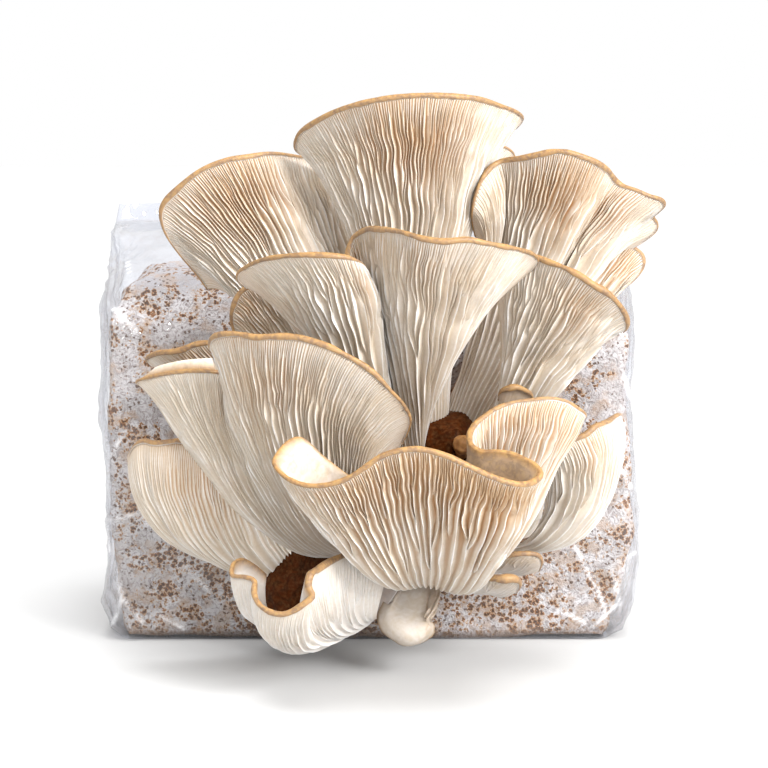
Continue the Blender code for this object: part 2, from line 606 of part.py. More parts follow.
# Materials, one for each sub-part
film = material("bag_film", (0.92, 0.94, 0.96), 0.15, alpha=0.25)
mycelium = material("mycelium_block", MYCELIUM, 0.9)
flesh = material("fused_base", CREAM, 0.8)

# The block in its bag
block = add_object("substrate_block", *block_solid(), mycelium)
bag = add_object("grow_bag", *bag_solid(), film)
cut(bag, slit_cutter())

# The fused base and the mushrooms that grow from it
trunk = add_object("stem_cluster", *trunk_solid(), flesh)
made = {}
for name, cap in CAPS.items():
    made[name] = add_object(name, *mushroom_solid(cap), material(name + "_skin", CREAM, 0.7))
for name, (base, tip, stem, head) in PINS.items():
    made[name] = add_object(name, *pin_solid(base, tip, stem, head), material(name + "_skin", CREAM, 0.7))
for piece in made.values():
    cut(piece, swollen(trunk, GAP))
for keeper, yielding in PRESSED:
    cut(made[yielding], swollen(made[keeper], GAP))
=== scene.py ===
# %% [markdown]
# # An oyster mushroom grow kit
# The real thing is a brick of sawdust that white mycelium has bound together, in a clear bag, with a
# cluster of oyster mushrooms fanned out through a slit in the bag's front. The photograph looks at the
# undersides of the caps, so the gills are what the picture is about.
# Every piece below is made in the same frame as the solids: X to the right, Y to the back, Z up, with
# the origin near the middle of the bag's flat base. Pieces are measured in millimetres, which MM turns
# into metres.

# %% Load the solids
import itertools
import json
import math

import bpy
import numpy as np
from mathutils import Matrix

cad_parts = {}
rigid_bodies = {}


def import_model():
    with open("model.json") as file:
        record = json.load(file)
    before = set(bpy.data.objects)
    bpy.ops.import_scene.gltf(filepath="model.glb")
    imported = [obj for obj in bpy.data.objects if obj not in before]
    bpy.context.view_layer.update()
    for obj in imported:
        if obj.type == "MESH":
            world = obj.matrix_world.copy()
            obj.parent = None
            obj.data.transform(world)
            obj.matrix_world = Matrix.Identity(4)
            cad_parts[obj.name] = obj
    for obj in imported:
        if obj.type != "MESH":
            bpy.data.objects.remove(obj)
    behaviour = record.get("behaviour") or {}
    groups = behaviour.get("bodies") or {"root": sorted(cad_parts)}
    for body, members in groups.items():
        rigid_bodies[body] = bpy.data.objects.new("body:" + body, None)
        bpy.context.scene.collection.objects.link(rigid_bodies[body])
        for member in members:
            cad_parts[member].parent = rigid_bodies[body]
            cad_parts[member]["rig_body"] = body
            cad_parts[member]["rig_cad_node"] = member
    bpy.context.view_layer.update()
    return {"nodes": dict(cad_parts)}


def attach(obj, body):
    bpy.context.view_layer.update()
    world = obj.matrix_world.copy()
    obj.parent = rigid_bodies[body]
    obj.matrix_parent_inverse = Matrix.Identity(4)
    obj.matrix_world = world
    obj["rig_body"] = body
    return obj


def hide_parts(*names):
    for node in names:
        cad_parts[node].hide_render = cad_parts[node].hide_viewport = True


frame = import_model()
MM = 0.001


# %% [markdown]
# ## Camera
# The picture was taken from the front, a little from above. A long lens from about 1.1 m away keeps
# the caps that lean towards the viewer from looking too large. The places of the rims were read off the
# photograph with this same camera, so each rim falls where the photograph shows it.

# %% Camera
TILT_DOWN = math.radians(8)
DISTANCE = 1.1
AIMED_AT = (5.77 * MM, -60 * MM, 116.5 * MM)
SENSOR_WIDTH, LENS = 36, 116.13
NEAREST, FARTHEST = 0.05, 50

camera = bpy.data.objects.new("camera", bpy.data.cameras.new("camera"))
bpy.context.scene.collection.objects.link(camera)
camera.data.sensor_width = SENSOR_WIDTH
camera.data.lens = LENS
camera.data.clip_start, camera.data.clip_end = NEAREST, FARTHEST
camera.location = (
    AIMED_AT[0],
    AIMED_AT[1] - DISTANCE * math.cos(TILT_DOWN),
    AIMED_AT[2] + DISTANCE * math.sin(TILT_DOWN),
)
camera.rotation_euler = (math.pi / 2 - TILT_DOWN, 0, 0)
bpy.context.scene.camera = camera
print("camera at", [round(value, 3) for value in camera.location])

# %% [markdown]
# ## Small tools
# Three helpers carry most of the shapes. The first runs a smooth curve through a few points, as a
# bent wire would. The second makes smooth random values that repeat exactly on each run, which move
# points a little so that nothing looks ruled. The third turns arrays of points and faces into a mesh.

# %% Smooth curves
def smooth_curve(points, places):
    """Points of a centripetal Catmull-Rom curve through these ones, at shares of its length."""
    points = np.asarray(points, float)
    ends = np.vstack([2 * points[0] - points[1], points, 2 * points[-1] - points[-2]])
    pieces = []
    for first in range(len(points) - 1):
        a, b, c, d = ends[first:first + 4]
        gaps = [np.linalg.norm(q - p) ** 0.5 for p, q in ((a, b), (b, c), (c, d))]
        knots = np.concatenate([[0], np.cumsum(gaps)])
        t = np.linspace(knots[1], knots[2], 24)[:, None]
        ab = ((knots[1] - t) * a + (t - knots[0]) * b) / (knots[1] - knots[0])
        bc = ((knots[2] - t) * b + (t - knots[1]) * c) / (knots[2] - knots[1])
        cd = ((knots[3] - t) * c + (t - knots[2]) * d) / (knots[3] - knots[2])
        abc = ((knots[2] - t) * ab + (t - knots[0]) * bc) / (knots[2] - knots[0])
        bcd = ((knots[3] - t) * bc + (t - knots[1]) * cd) / (knots[3] - knots[1])
        pieces.append(((knots[2] - t) * abc + (t - knots[1]) * bcd) / (knots[2] - knots[1]))
    curve = np.vstack(pieces)
    length = np.concatenate([[0], np.cumsum(np.linalg.norm(np.diff(curve, axis=0), axis=1))])
    return np.stack([np.interp(places, length / length[-1], curve[:, axis]) for axis in range(3)], -1)


def unit(vectors):
    return vectors / np.maximum(np.linalg.norm(vectors, axis=-1, keepdims=True), 1e-9)


def smoothstep(value):
    value = np.clip(value, 0, 1)
    return value * value * (3 - 2 * value)


# %% Smooth random values
LATTICE_SIZE = 32
LATTICE = np.random.default_rng(7).uniform(-1, 1, (LATTICE_SIZE,) * 3)


def drift(x, y, z=0.0, seed=0):
    """Smooth random values from -1 to 1 that change over about one unit of x, y and z."""
    shifts = (5.3 * seed, -3.7 * seed, 9.1 * seed)
    axes = np.broadcast_arrays(*(np.asarray(value, float) + shift for value, shift in zip((x, y, z), shifts)))
    low = [np.floor(axis).astype(int) for axis in axes]
    share = [smoothstep(axis - floor) for axis, floor in zip(axes, low)]
    total = 0
    for corner in itertools.product((0, 1), repeat=3):
        weight = 1
        for step, part in zip(corner, share):
            weight = weight * (part if step else 1 - part)
        cell = tuple((floor + step) % LATTICE_SIZE for floor, step in zip(low, corner))
        total = total + weight * LATTICE[cell]
    return total


print("drift at three places:", np.round(drift([0.2, 5.5, 9.9], 0.4, 0.1), 3))


# %% Points and faces to a mesh
def set_values(mesh, values):
    """Named values at a mesh's points, each one number for all or one for each."""
    for key, numbers in values.items():
        layer = mesh.attributes.new(key, "FLOAT", "POINT")
        spread = np.broadcast_to(np.asarray(numbers, np.float32), len(mesh.vertices))
        layer.data.foreach_set("value", spread.copy())


def points_of(mesh):
    """A mesh's points in millimetres."""
    numbers = np.empty(len(mesh.vertices) * 3)
    mesh.vertices.foreach_get("co", numbers)
    return numbers.reshape(-1, 3) / MM


def mesh_piece(name, points_mm, faces, values=None, material=None):
    """A smooth mesh piece from points in millimetres, with its named values at the points."""
    mesh = bpy.data.meshes.new(name)
    mesh.from_pydata((np.asarray(points_mm, float) * MM).tolist(), [], faces)
    set_values(mesh, values or {})
    mesh.polygons.foreach_set("use_smooth", [True] * len(mesh.polygons))
    mesh.update()
    piece = bpy.data.objects.new(name, mesh)
    bpy.context.scene.collection.objects.link(piece)
    if material:
        mesh.materials.append(material)
    return piece


def grid_faces(rows, columns, start=0):
    """Four-sided faces of a grid of points stored row by row."""
    corner = start + np.arange(rows - 1)[:, None] * columns + np.arange(columns - 1)
    return np.stack([corner, corner + 1, corner + columns + 1, corner + columns], -1).reshape(-1, 4).tolist()


def zipped(first, first_shares, second, second_shares):
    """Triangles that join two rows of points of different counts, matched by their shares along the row."""
    triangles = []
    i = j = 0
    while i < len(first) - 1 or j < len(second) - 1:
        if j == len(second) - 1 or (i < len(first) - 1 and first_shares[i + 1] <= second_shares[j + 1]):
            triangles.append((int(first[i]), int(first[i + 1]), int(second[j])))
            i += 1
        else:
            triangles.append((int(first[i]), int(second[j + 1]), int(second[j])))
            j += 1
    return triangles

# %% [markdown]
# ## Where each mushroom is
# A mushroom here is a stem that opens into a fan. Each one is described by a few points, in
# millimetres: the root in the fused base, the bend where the stem turns, the hub that the fan opens
# round, and the rim's own points from left to right as seen by someone who looks at the gills.
# Stem and neck are half widths at the root and at the bend. Flare is how far along the way from the hub
# to the rim the fan takes its curve from, and flesh is the cap's thickness near the stem.
# The solids were made from the same numbers, so each detailed piece stands where its solid does. It
# leaves the solid's surface where a cap is swelled further on, and where a stem runs on into the base.

# %% The mushrooms in numbers
FUSED_BASE = np.array((24, -57.6, 66))
FUSED_RADII = np.array((54, 36, 42))
ROOT_REACH = 0.62
STEM_FLATNESS = 0.8

CAPS = {
    "mushroom_crown_back": dict(
        root=(26, -66, 89.5), bend=(14.5, -71, 142), hub=(21.5, -67, 181),
        stem=6, neck=11, flare=0.5, flesh=4,
        rim=[
            (-16, -58, 200), (-14.5, -60, 208.5), (-4.5, -62, 217.5), (10.5, -64, 222),
            (26, -65, 224.5), (41, -64, 224.5), (52, -62, 223), (58.5, -60, 222), (62.5, -58, 219.5),
            (64, -55, 216.5)
        ]),
    "mushroom_crown": dict(
        root=(26, -80, 93), bend=(18, -97, 136.5), hub=(18, -102, 194.5),
        stem=9, neck=14.5, flare=0.42, flesh=5,
        rim=[
            (-17.5, -84, 215.5), (-27.5, -90, 218.5), (-32.5, -98, 222.5), (-30.5, -107, 229.5),
            (-20.5, -117, 236.5), (-10, -124, 241), (4, -130, 244.5), (17.5, -132, 246),
            (31, -131, 246), (45, -126, 244.5), (55.5, -117, 241), (62.5, -106, 238), (65, -97, 235),
            (61.5, -88, 230), (54.5, -82, 226)
        ]),
    "mushroom_upper_left": dict(
        root=(12, -76, 89.5), bend=(-10, -82, 121.5), hub=(-37.5, -86, 173),
        stem=7.5, neck=13, flare=0.45, flesh=5,
        rim=[
            (-71, -84, 161), (-75, -86, 167), (-81.5, -90, 175.5), (-86.5, -93, 183),
            (-89, -95, 188.5), (-90, -97, 195.5), (-88, -99, 200.5), (-82.5, -101, 206),
            (-72, -103, 214), (-61, -103, 218.5), (-52, -101, 220), (-42.5, -96, 221),
            (-32.5, -86, 219.5), (-22.5, -76, 216.5), (-16.5, -70, 212), (-12, -65, 206.5),
            (-11, -62, 201.5)
        ]),
    "mushroom_upper_right": dict(
        root=(41, -77, 97.5), bend=(57.5, -85, 136), hub=(72.5, -92, 173.5),
        stem=9, neck=15, flare=0.45, flesh=5,
        rim=[
            (44, -102, 185.5), (42.5, -106, 192), (42.5, -112, 198), (45, -113, 207.5),
            (49, -111, 214.5), (54, -107, 218), (61.5, -111, 219.5), (68, -114, 221),
            (75, -116, 222.5), (81.5, -117, 222.5), (88.5, -116, 220.5), (96, -113, 217.5),
            (101, -107, 214), (104, -101, 210.5), (106.5, -100, 208), (112, -103, 206),
            (118.5, -103, 203), (124, -100, 201), (126, -95, 198.5), (124, -88, 195),
            (122.5, -83, 192.5), (124.5, -79, 189.5), (124.5, -76, 186), (120, -73, 181.5),
            (115, -71, 178)
        ]),
    "mushroom_upper_right_back": dict(
        root=(48.5, -66, 89.5), bend=(72.5, -69, 123), hub=(90.5, -71, 152.5),
        stem=5, neck=9, flare=0.45, flesh=4,
        rim=[
            (99, -63, 185), (108.5, -63, 182.5), (116.5, -63, 178), (120.5, -64, 174),
            (120.5, -65, 169.5), (118, -66, 165.5), (114.5, -67, 162)
        ]),
    "mushroom_centre": dict(
        root=(19.5, -92, 79), bend=(16.5, -114, 95), hub=(12.5, -132, 141),
        stem=10, neck=17, flare=0.62, flesh=5,
        rim=[
            (-52, -128, 166.5), (-55, -132, 170), (-55, -136, 173), (-51, -142, 176.5),
            (-44, -149, 180), (-35.5, -155, 182), (-25.5, -159, 183), (-16, -160, 183),
            (-8, -157, 182), (-3.5, -152, 179.5), (-2, -146, 176), (-5, -141, 174.5),
            (-8, -137, 176.5), (-9.5, -133, 181.5), (-8, -131.5, 187.5), (-5, -134, 190.5),
            (-1, -140, 192.5), (4, -149, 193), (9, -158, 193), (13.5, -165, 192.5),
            (21.5, -170, 190.5), (30, -171, 189.5), (39.5, -169, 190), (46, -167, 188.5),
            (54.5, -162, 186.5), (61.5, -155, 184.5), (67, -146, 182), (69.5, -137, 178.5),
            (67.5, -130, 174)
        ]),
    "mushroom_centre_left_back": dict(
        root=(6, -84, 79.5), bend=(-13, -98, 103), hub=(-34.5, -100, 143),
        stem=6, neck=10, flare=0.5, flesh=4,
        rim=[
            (-52, -102, 135.5), (-56.5, -104, 140.5), (-59, -106, 147), (-59.5, -109, 153),
            (-57.5, -112, 160), (-52.5, -115, 165.5), (-42, -119, 169.5), (-29, -122, 171)
        ]),
    "mushroom_right": dict(
        root=(49.5, -86, 86), bend=(57, -106, 103), hub=(66.5, -114, 138.5),
        stem=9, neck=14, flare=0.42, flesh=5,
        rim=[
            (48.5, -112, 175.5), (54, -118, 179.5), (61, -126, 181), (68.5, -132, 180),
            (74.5, -136, 178), (80, -139, 176), (85.5, -141, 173.5), (91.5, -142, 169.5),
            (97.5, -141, 166), (102.5, -138, 161), (106.5, -133, 155.5), (108, -128, 151),
            (107, -121, 147.5), (103, -113, 145.5), (98.5, -106, 142.5), (95.5, -101, 138.5)
        ]),
    "mushroom_left": dict(
        root=(11, -86, 69), bend=(-18.5, -110, 12.5), hub=(-59.5, -132, 74.5),
        stem=11, neck=17, flare=0.6, flesh=4,
        rim=[
            (-94, -110, 122), (-99, -114, 124.5), (-98.5, -118, 126), (-94.5, -122, 128),
            (-88.5, -126, 130), (-79, -129, 132), (-69.5, -129.5, 132.5), (-62, -127, 131.5),
            (-57, -123.5, 129.5), (-54, -126.5, 130), (-57.5, -131, 133), (-63, -136, 139),
            (-66.5, -141.5, 144.5), (-64.5, -148, 149), (-58, -154.5, 151), (-52, -158, 151),
            (-46.5, -162, 150.5), (-40, -165, 151), (-34, -167, 151.5), (-27.5, -169, 151),
            (-21.5, -170, 149.5), (-15.5, -171, 147.5), (-10, -171, 144.5), (-3.5, -171, 141),
            (2.5, -170, 136.5), (8.5, -168, 129.5), (14, -165, 123), (17, -161, 116.5),
            (16, -156, 110.5), (13, -150, 103.5)
        ]),
    "mushroom_left_back": dict(
        root=(9.5, -75, 70.5), bend=(-21.5, -84, 90), hub=(-56, -98, 115),
        stem=5.5, neck=9, flare=0.5, flesh=4,
        rim=[
            (-95, -92, 129), (-97, -95, 132), (-95.5, -99, 134), (-91.5, -103, 136), (-86, -107, 137),
            (-80.5, -110, 138.5), (-75, -112, 141), (-69, -113, 142), (-62.5, -112, 141.5),
            (-56, -108, 138)
        ]),
    "mushroom_lower_left": dict(
        root=(9.5, -75, 54.5), bend=(-48, -84, 30.5), hub=(-109, -108, 3),
        stem=8, neck=12, flare=0.6, flesh=4,
        rim=[
            (-101.5, -92, 87), (-104.5, -97, 89.5), (-103, -101, 94), (-100, -104, 98),
            (-96, -106, 99.5), (-93, -108, 99), (-87.5, -110, 99.5), (-80.5, -109, 100),
            (-72.5, -106, 98.5), (-65.5, -102, 95.5), (-58, -98, 90.5), (-50.5, -94, 84.5),
            (-43, -91, 76), (-36, -89, 67)
        ]),
    "mushroom_front": dict(
        root=(31, -90, 58.5), bend=(32, -136, 7), hub=(31.5, -168, 60.5),
        stem=12, neck=17, flare=0.87, flesh=4,
        rim=[
            (-9.5, -168, 95), (-16.5, -170, 100.5), (-23.5, -173, 107), (-28.5, -177, 111.5),
            (-32.5, -181, 111), (-36, -185, 108), (-38.5, -189, 103.5), (-34, -193, 98.5),
            (-27, -196, 96), (-19, -198, 96), (-9.5, -200, 99), (-2.5, -201, 103.5),
            (4.5, -202, 108.5), (12, -203, 111), (19.5, -203, 111.5), (29.5, -203, 109),
            (39, -202, 104.5), (49, -199, 99.5), (59, -195, 96), (65.5, -190, 96), (69, -185, 98.5),
            (67, -181, 101.5), (62, -178, 104), (56.5, -176, 106), (50, -175, 106.5),
            (45, -174, 106.5), (41.5, -171, 108.5), (41, -167, 112), (43, -163, 115.5),
            (47, -160, 118.5), (52, -158, 121.5), (58, -156, 123), (65, -155, 124), (73, -154, 124.5),
            (80, -152, 123), (85.5, -149, 119.5), (89, -145, 116), (87.5, -139, 112), (84, -134, 108)
        ]),
    "mushroom_lower_right": dict(
        root=(46, -80, 62.5), bend=(77, -88, 21.5), hub=(121.5, -110, 62.5),
        stem=9, neck=14, flare=0.5, flesh=5,
        rim=[
            (59.5, -120, 94.5), (66.5, -128, 102.5), (73, -132, 102.5), (79.5, -133, 103),
            (85.5, -133, 104.5), (90, -132, 106.5), (93, -130, 109), (96.5, -127, 110),
            (99.5, -123, 110.5), (103, -117, 111.5), (105.5, -111, 111.5), (105, -103, 108.5),
            (102.5, -97, 104.5)
        ]),
    "mushroom_bottom": dict(
        root=(14.5, -84, 43.5), bend=(-15.5, -108, -7.5), hub=(-54.5, -146, -26),
        stem=9, neck=12.5, flare=0.6, flesh=4.5,
        rim=[
            (-43, -146, 49.5), (-48, -149, 54.5), (-52.5, -152, 57.5), (-56.5, -157, 56.5),
            (-56.5, -162, 53), (-51, -168, 53.5), (-47, -172, 53), (-47, -178, 50), (-44.5, -184, 46),
            (-39.5, -188, 43.5), (-34, -190, 43), (-29, -191, 45), (-24.5, -191, 48),
            (-21.5, -190, 50.5), (-23, -189, 54.5), (-22.5, -188, 58.5), (-20, -176, 58.5),
            (-15.5, -165, 59.5), (-10, -153, 59.5), (-4.5, -145, 59), (1.5, -137, 56),
            (7.5, -129, 52.5)
        ]),
    "mushroom_small_bottom": dict(
        root=(27, -80, 28.5), bend=(21, -108, 33), hub=(17, -120, 29.5),
        stem=6.5, neck=11.5, flare=0.6, flesh=4,
        rim=[
            (6, -114, 30), (4, -117, 24.5), (6, -120, 20), (11, -123, 17), (16, -124, 15),
            (22, -123, 16.5), (25.5, -120, 19.5), (24, -124, 24.5), (26.5, -123, 28), (28.5, -116, 31)
        ]),
    "mushroom_small_curl": dict(
        root=(41.5, -90, 70), bend=(50, -112, 94.5), hub=(59.5, -123, 112.5),
        stem=4, neck=6, flare=0.6, flesh=3,
        rim=[
            (54.5, -127, 117.5), (53, -130, 121), (54, -133, 124), (57, -135, 125.5), (61, -135, 126),
            (64.5, -133, 124.5), (68, -129, 121.5), (67, -125, 118)
        ]),
    "mushroom_small_right_upper": dict(
        root=(43.5, -76, 50), bend=(48.5, -90, 29), hub=(57, -100, 36.5),
        stem=4, neck=6, flare=0.7, flesh=3,
        rim=[
            (51.5, -102, 41), (54.5, -106, 45.5), (59.5, -109, 49.5), (65.5, -110, 50.5),
            (72, -108, 49.5), (74.5, -104, 46), (73.5, -99, 40.5)
        ]),
    "mushroom_small_right_lower": dict(
        root=(35, -80, 41), bend=(45, -98, 20), hub=(53, -108, 29.5),
        stem=4, neck=6, flare=0.7, flesh=3,
        rim=[
            (44.5, -109, 36.5), (47, -113, 40), (51.5, -117, 41.5), (57, -119, 41.5), (62.5, -117, 41),
            (65, -112, 37.5), (63.5, -107, 33)
        ]),
}
print("mushrooms:", len(CAPS))

# %% [markdown]
# ## Colours and finishes
# Photographs of oyster mushrooms show that their colour follows their shape: the crests of the gills are
# cream, the valleys between them tan, and the rolled rim is golden where it has begun to dry. Part of
# it is painted light and shade: the crests are painted paler as a highlight, the valleys and flanks are
# painted darker towards the rim and in the middle of each fan as shade, the upper side near the stem is
# painted browner, partly as shade, and some caps are painted paler or darker all over for the light
# they stand in. So the shapes carry these values along as numbers at their points, and the material
# mixes its colours by them.
# A picture could be painted on instead, but then it would have to be redrawn whenever a shape changes.

# %% Tools for materials
def tint(code):
    """A colour written as six hex digits, as linear light."""
    parts = [int(code[at:at + 2], 16) / 255 for at in (0, 2, 4)]
    return tuple(part / 12.92 if part <= 0.04045 else ((part + 0.055) / 1.055) ** 2.4 for part in parts)


class Finish:
    """A material built step by step: every method adds a node and hands back its output."""

    def __init__(self, name):
        self.material = bpy.data.materials.new(name)
        self.material.use_nodes = True
        self.tree = self.material.node_tree
        self.shader = self.tree.nodes["Principled BSDF"]
        self.place = self.tree.nodes.new("ShaderNodeTexCoord").outputs["Object"]

    def plug(self, value, socket):
        if isinstance(value, bpy.types.NodeSocket):
            self.tree.links.new(value, socket)
        elif socket.type == "RGBA":
            socket.default_value = (*value, 1)
        else:
            socket.default_value = value

    def value(self, name):
        node = self.tree.nodes.new("ShaderNodeAttribute")
        node.attribute_name = name
        return node.outputs["Fac"]

    def noise(self, size_mm, detail, distortion=0):
        node = self.tree.nodes.new("ShaderNodeTexNoise")
        self.plug(self.place, node.inputs["Vector"])
        node.inputs["Scale"].default_value = 1 / (size_mm * MM)
        node.inputs["Detail"].default_value = detail
        node.inputs["Distortion"].default_value = distortion
        return node.outputs["Fac"]

    def cells(self, size_mm, wobble_mm):
        """Distance to the nearest of scattered centres, with the places shaken so that no cell is round."""
        shake = self.tree.nodes.new("ShaderNodeTexNoise")
        self.plug(self.place, shake.inputs["Vector"])
        shake.inputs["Scale"].default_value = 1.6 / (size_mm * MM)
        shaken = self.tree.nodes.new("ShaderNodeVectorMath")
        shaken.operation = "MULTIPLY_ADD"
        shaken.inputs[1].default_value = (wobble_mm * MM,) * 3
        self.plug(shake.outputs["Color"], shaken.inputs[0])
        self.plug(self.place, shaken.inputs[2])
        node = self.tree.nodes.new("ShaderNodeTexVoronoi")
        self.plug(shaken.outputs[0], node.inputs["Vector"])
        node.inputs["Scale"].default_value = 1 / (size_mm * MM)
        return node.outputs["Distance"]

    def between(self, value, low, high, to_low=0.0, to_high=1.0):
        """The value, stretched so that low and high become to_low and to_high, and held there."""
        node = self.tree.nodes.new("ShaderNodeMapRange")
        node.interpolation_type = "SMOOTHSTEP"
        for socket, number in zip(node.inputs, (value, low, high, to_low, to_high)):
            self.plug(number, socket)
        return node.outputs["Result"]

    def math(self, kind, a, b):
        node = self.tree.nodes.new("ShaderNodeMath")
        node.operation = kind
        self.plug(a, node.inputs[0])
        self.plug(b, node.inputs[1])
        return node.outputs[0]

    def plus(self, a, b):
        return self.math("ADD", a, b)

    def times(self, a, b):
        return self.math("MULTIPLY", a, b)

    def mix(self, share, a, b):
        node = self.tree.nodes.new("ShaderNodeMix")
        node.data_type = "RGBA"
        sockets = [socket for socket in node.inputs if socket.enabled]
        for socket, number in zip(sockets, (share, a, b)):
            self.plug(number, socket)
        return [socket for socket in node.outputs if socket.enabled][0]

    def bump(self, height, strength, distance_mm):
        node = self.tree.nodes.new("ShaderNodeBump")
        self.plug(height, node.inputs["Height"])
        node.inputs["Strength"].default_value = strength
        node.inputs["Distance"].default_value = distance_mm * MM
        self.plug(node.outputs["Normal"], self.shader.inputs["Normal"])


# %% Mushroom flesh
def mushroom_finish(name, inner_colours):
    """Cream flesh: tan between the gills and darker there as painted shade, paler crests as a painted
    highlight, golden along the rim, browner on the upper side near the stem, partly as painted shade.
    """
    finish = Finish(name)
    keys = ("relief", "tan_and_painted_shading", "edge", "upper", "along")
    relief, tan_and_painted_shading, edge, upper, along = (finish.value(key) for key in keys)
    blotches = finish.noise(14, 4)
    fine = finish.noise(1.4, 5)
    streaks = finish.noise(5, 4, distortion=1.5)
    # Valleys: tan, darker towards the rim and the middle of the fan, partly their own colour and partly
    # painted shade between the gills.
    valley = finish.mix(finish.between(tan_and_painted_shading, 0.1, 0.8), tint("BFB2A0"), tint("946B42"))
    flank = finish.mix(finish.between(blotches, 0.3, 0.7), tint("CBC3B9"), tint("C3B7A7"))
    # Flanks are painted darker by the same value: painted shade.
    flank = finish.mix(finish.between(tan_and_painted_shading, 0.2, 1.5, 0.0, 0.9), flank, tint("AC8F6D"))
    gills = finish.mix(finish.between(relief, 0.0, 0.5), valley, flank)
    # Crests: paler towards white, partly their own cream and partly a painted highlight.
    gills = finish.mix(finish.between(relief, 0.7, 1.0), gills, tint("DBD9D6"))
    outer = finish.mix(finish.between(streaks, 0.3, 0.8), tint("C6C0B9"), tint("BBAE9A"))
    # Upper side: browner near the stem, partly its own colour and partly painted shade for the hollows under
    # the caps.
    inner = finish.mix(finish.between(streaks, 0.3, 0.7), *(tint(code) for code in inner_colours))
    smooth = finish.mix(finish.between(along, 0.35, 0.97), inner, outer)
    skin = finish.mix(upper, gills, smooth)
    # Painted light: where this value is below zero, the skin is painted paler, towards white.
    skin = finish.mix(finish.between(tan_and_painted_shading, -1.0, 0.0, 0.8, 0.0), skin, tint("DDDCDC"))
    rim = finish.mix(finish.between(streaks, 0.35, 0.65), tint("8A611E"), tint("664210"))
    rim = finish.mix(finish.between(fine, 0.45, 0.7, 0.0, 0.5), rim, tint("A07C34"))
    colour = finish.mix(finish.times(edge, 0.9), skin, rim)
    colour = finish.mix(finish.between(fine, 0.35, 0.8, 0.0, 0.14), colour, tint("94734A"))
    finish.plug(colour, finish.shader.inputs["Base Color"])
    finish.shader.inputs["Roughness"].default_value = 0.5
    finish.shader.inputs["Subsurface Weight"].default_value = 0.18
    finish.shader.inputs["Subsurface Radius"].default_value = (1.0, 0.75, 0.55)
    finish.shader.inputs["Subsurface Scale"].default_value = 2.5 * MM
    finish.shader.inputs["Specular IOR Level"].default_value = 0.35
    finish.bump(finish.mix(0.5, streaks, fine), 0.25, 0.3)
    return finish.material


flesh = mushroom_finish("mushroom_flesh", ("946A3B", "6E4623"))
# The base's finish: near-black brown with hardly any sheen at its front is painted shade for the hollows,
# over tissue that is partly brown.
base_flesh = mushroom_finish("base_flesh", ("451D04", "290F01"))
base_flesh.node_tree.nodes["Principled BSDF"].inputs["Specular IOR Level"].default_value = 0.05

# %% [markdown]
# ## The surface under the gills
# Before any gill, a mushroom needs the smooth sheet that the gills stand on. It could be sculpted or
# simulated, but a sheet of ribs is exact and easy to steer: each rib is a Bezier curve that begins on
# half a ring round the stem, is drawn towards a wider half ring at the bend and then towards the flare,
# and ends at its own point of the rim.
# A place on the sheet is then two numbers: s across the fan, from 0 to 1, and v from stem to rim.
# The left mushroom's rim has a sharp notch. Calming smooths that rim for the ribs, and only their last
# part, where v is near 1, goes back to the rim itself, so that the notch doesn't run down to the stem.

# %% The sheet of ribs
def stem_root(cap):
    """The middle of the stem's lower end, drawn into the fused base."""
    reach = (np.array(cap["root"], float) - FUSED_BASE) / FUSED_RADII
    return FUSED_BASE + reach * FUSED_RADII * min(1, ROOT_REACH / np.linalg.norm(reach))


def section_axes(along):
    """Two directions of a stem's section: across, and out on the gill side."""
    across = unit(np.array([1.0, 0, 0]) - along * along[0])
    return across, np.cross(across, along)


def half_ring(centre, axes, half_width, turn):
    """The gill side of a stem's section."""
    across, out = axes
    return centre + half_width * (-np.cos(turn) * across + STEM_FLATNESS * np.sin(turn) * out)


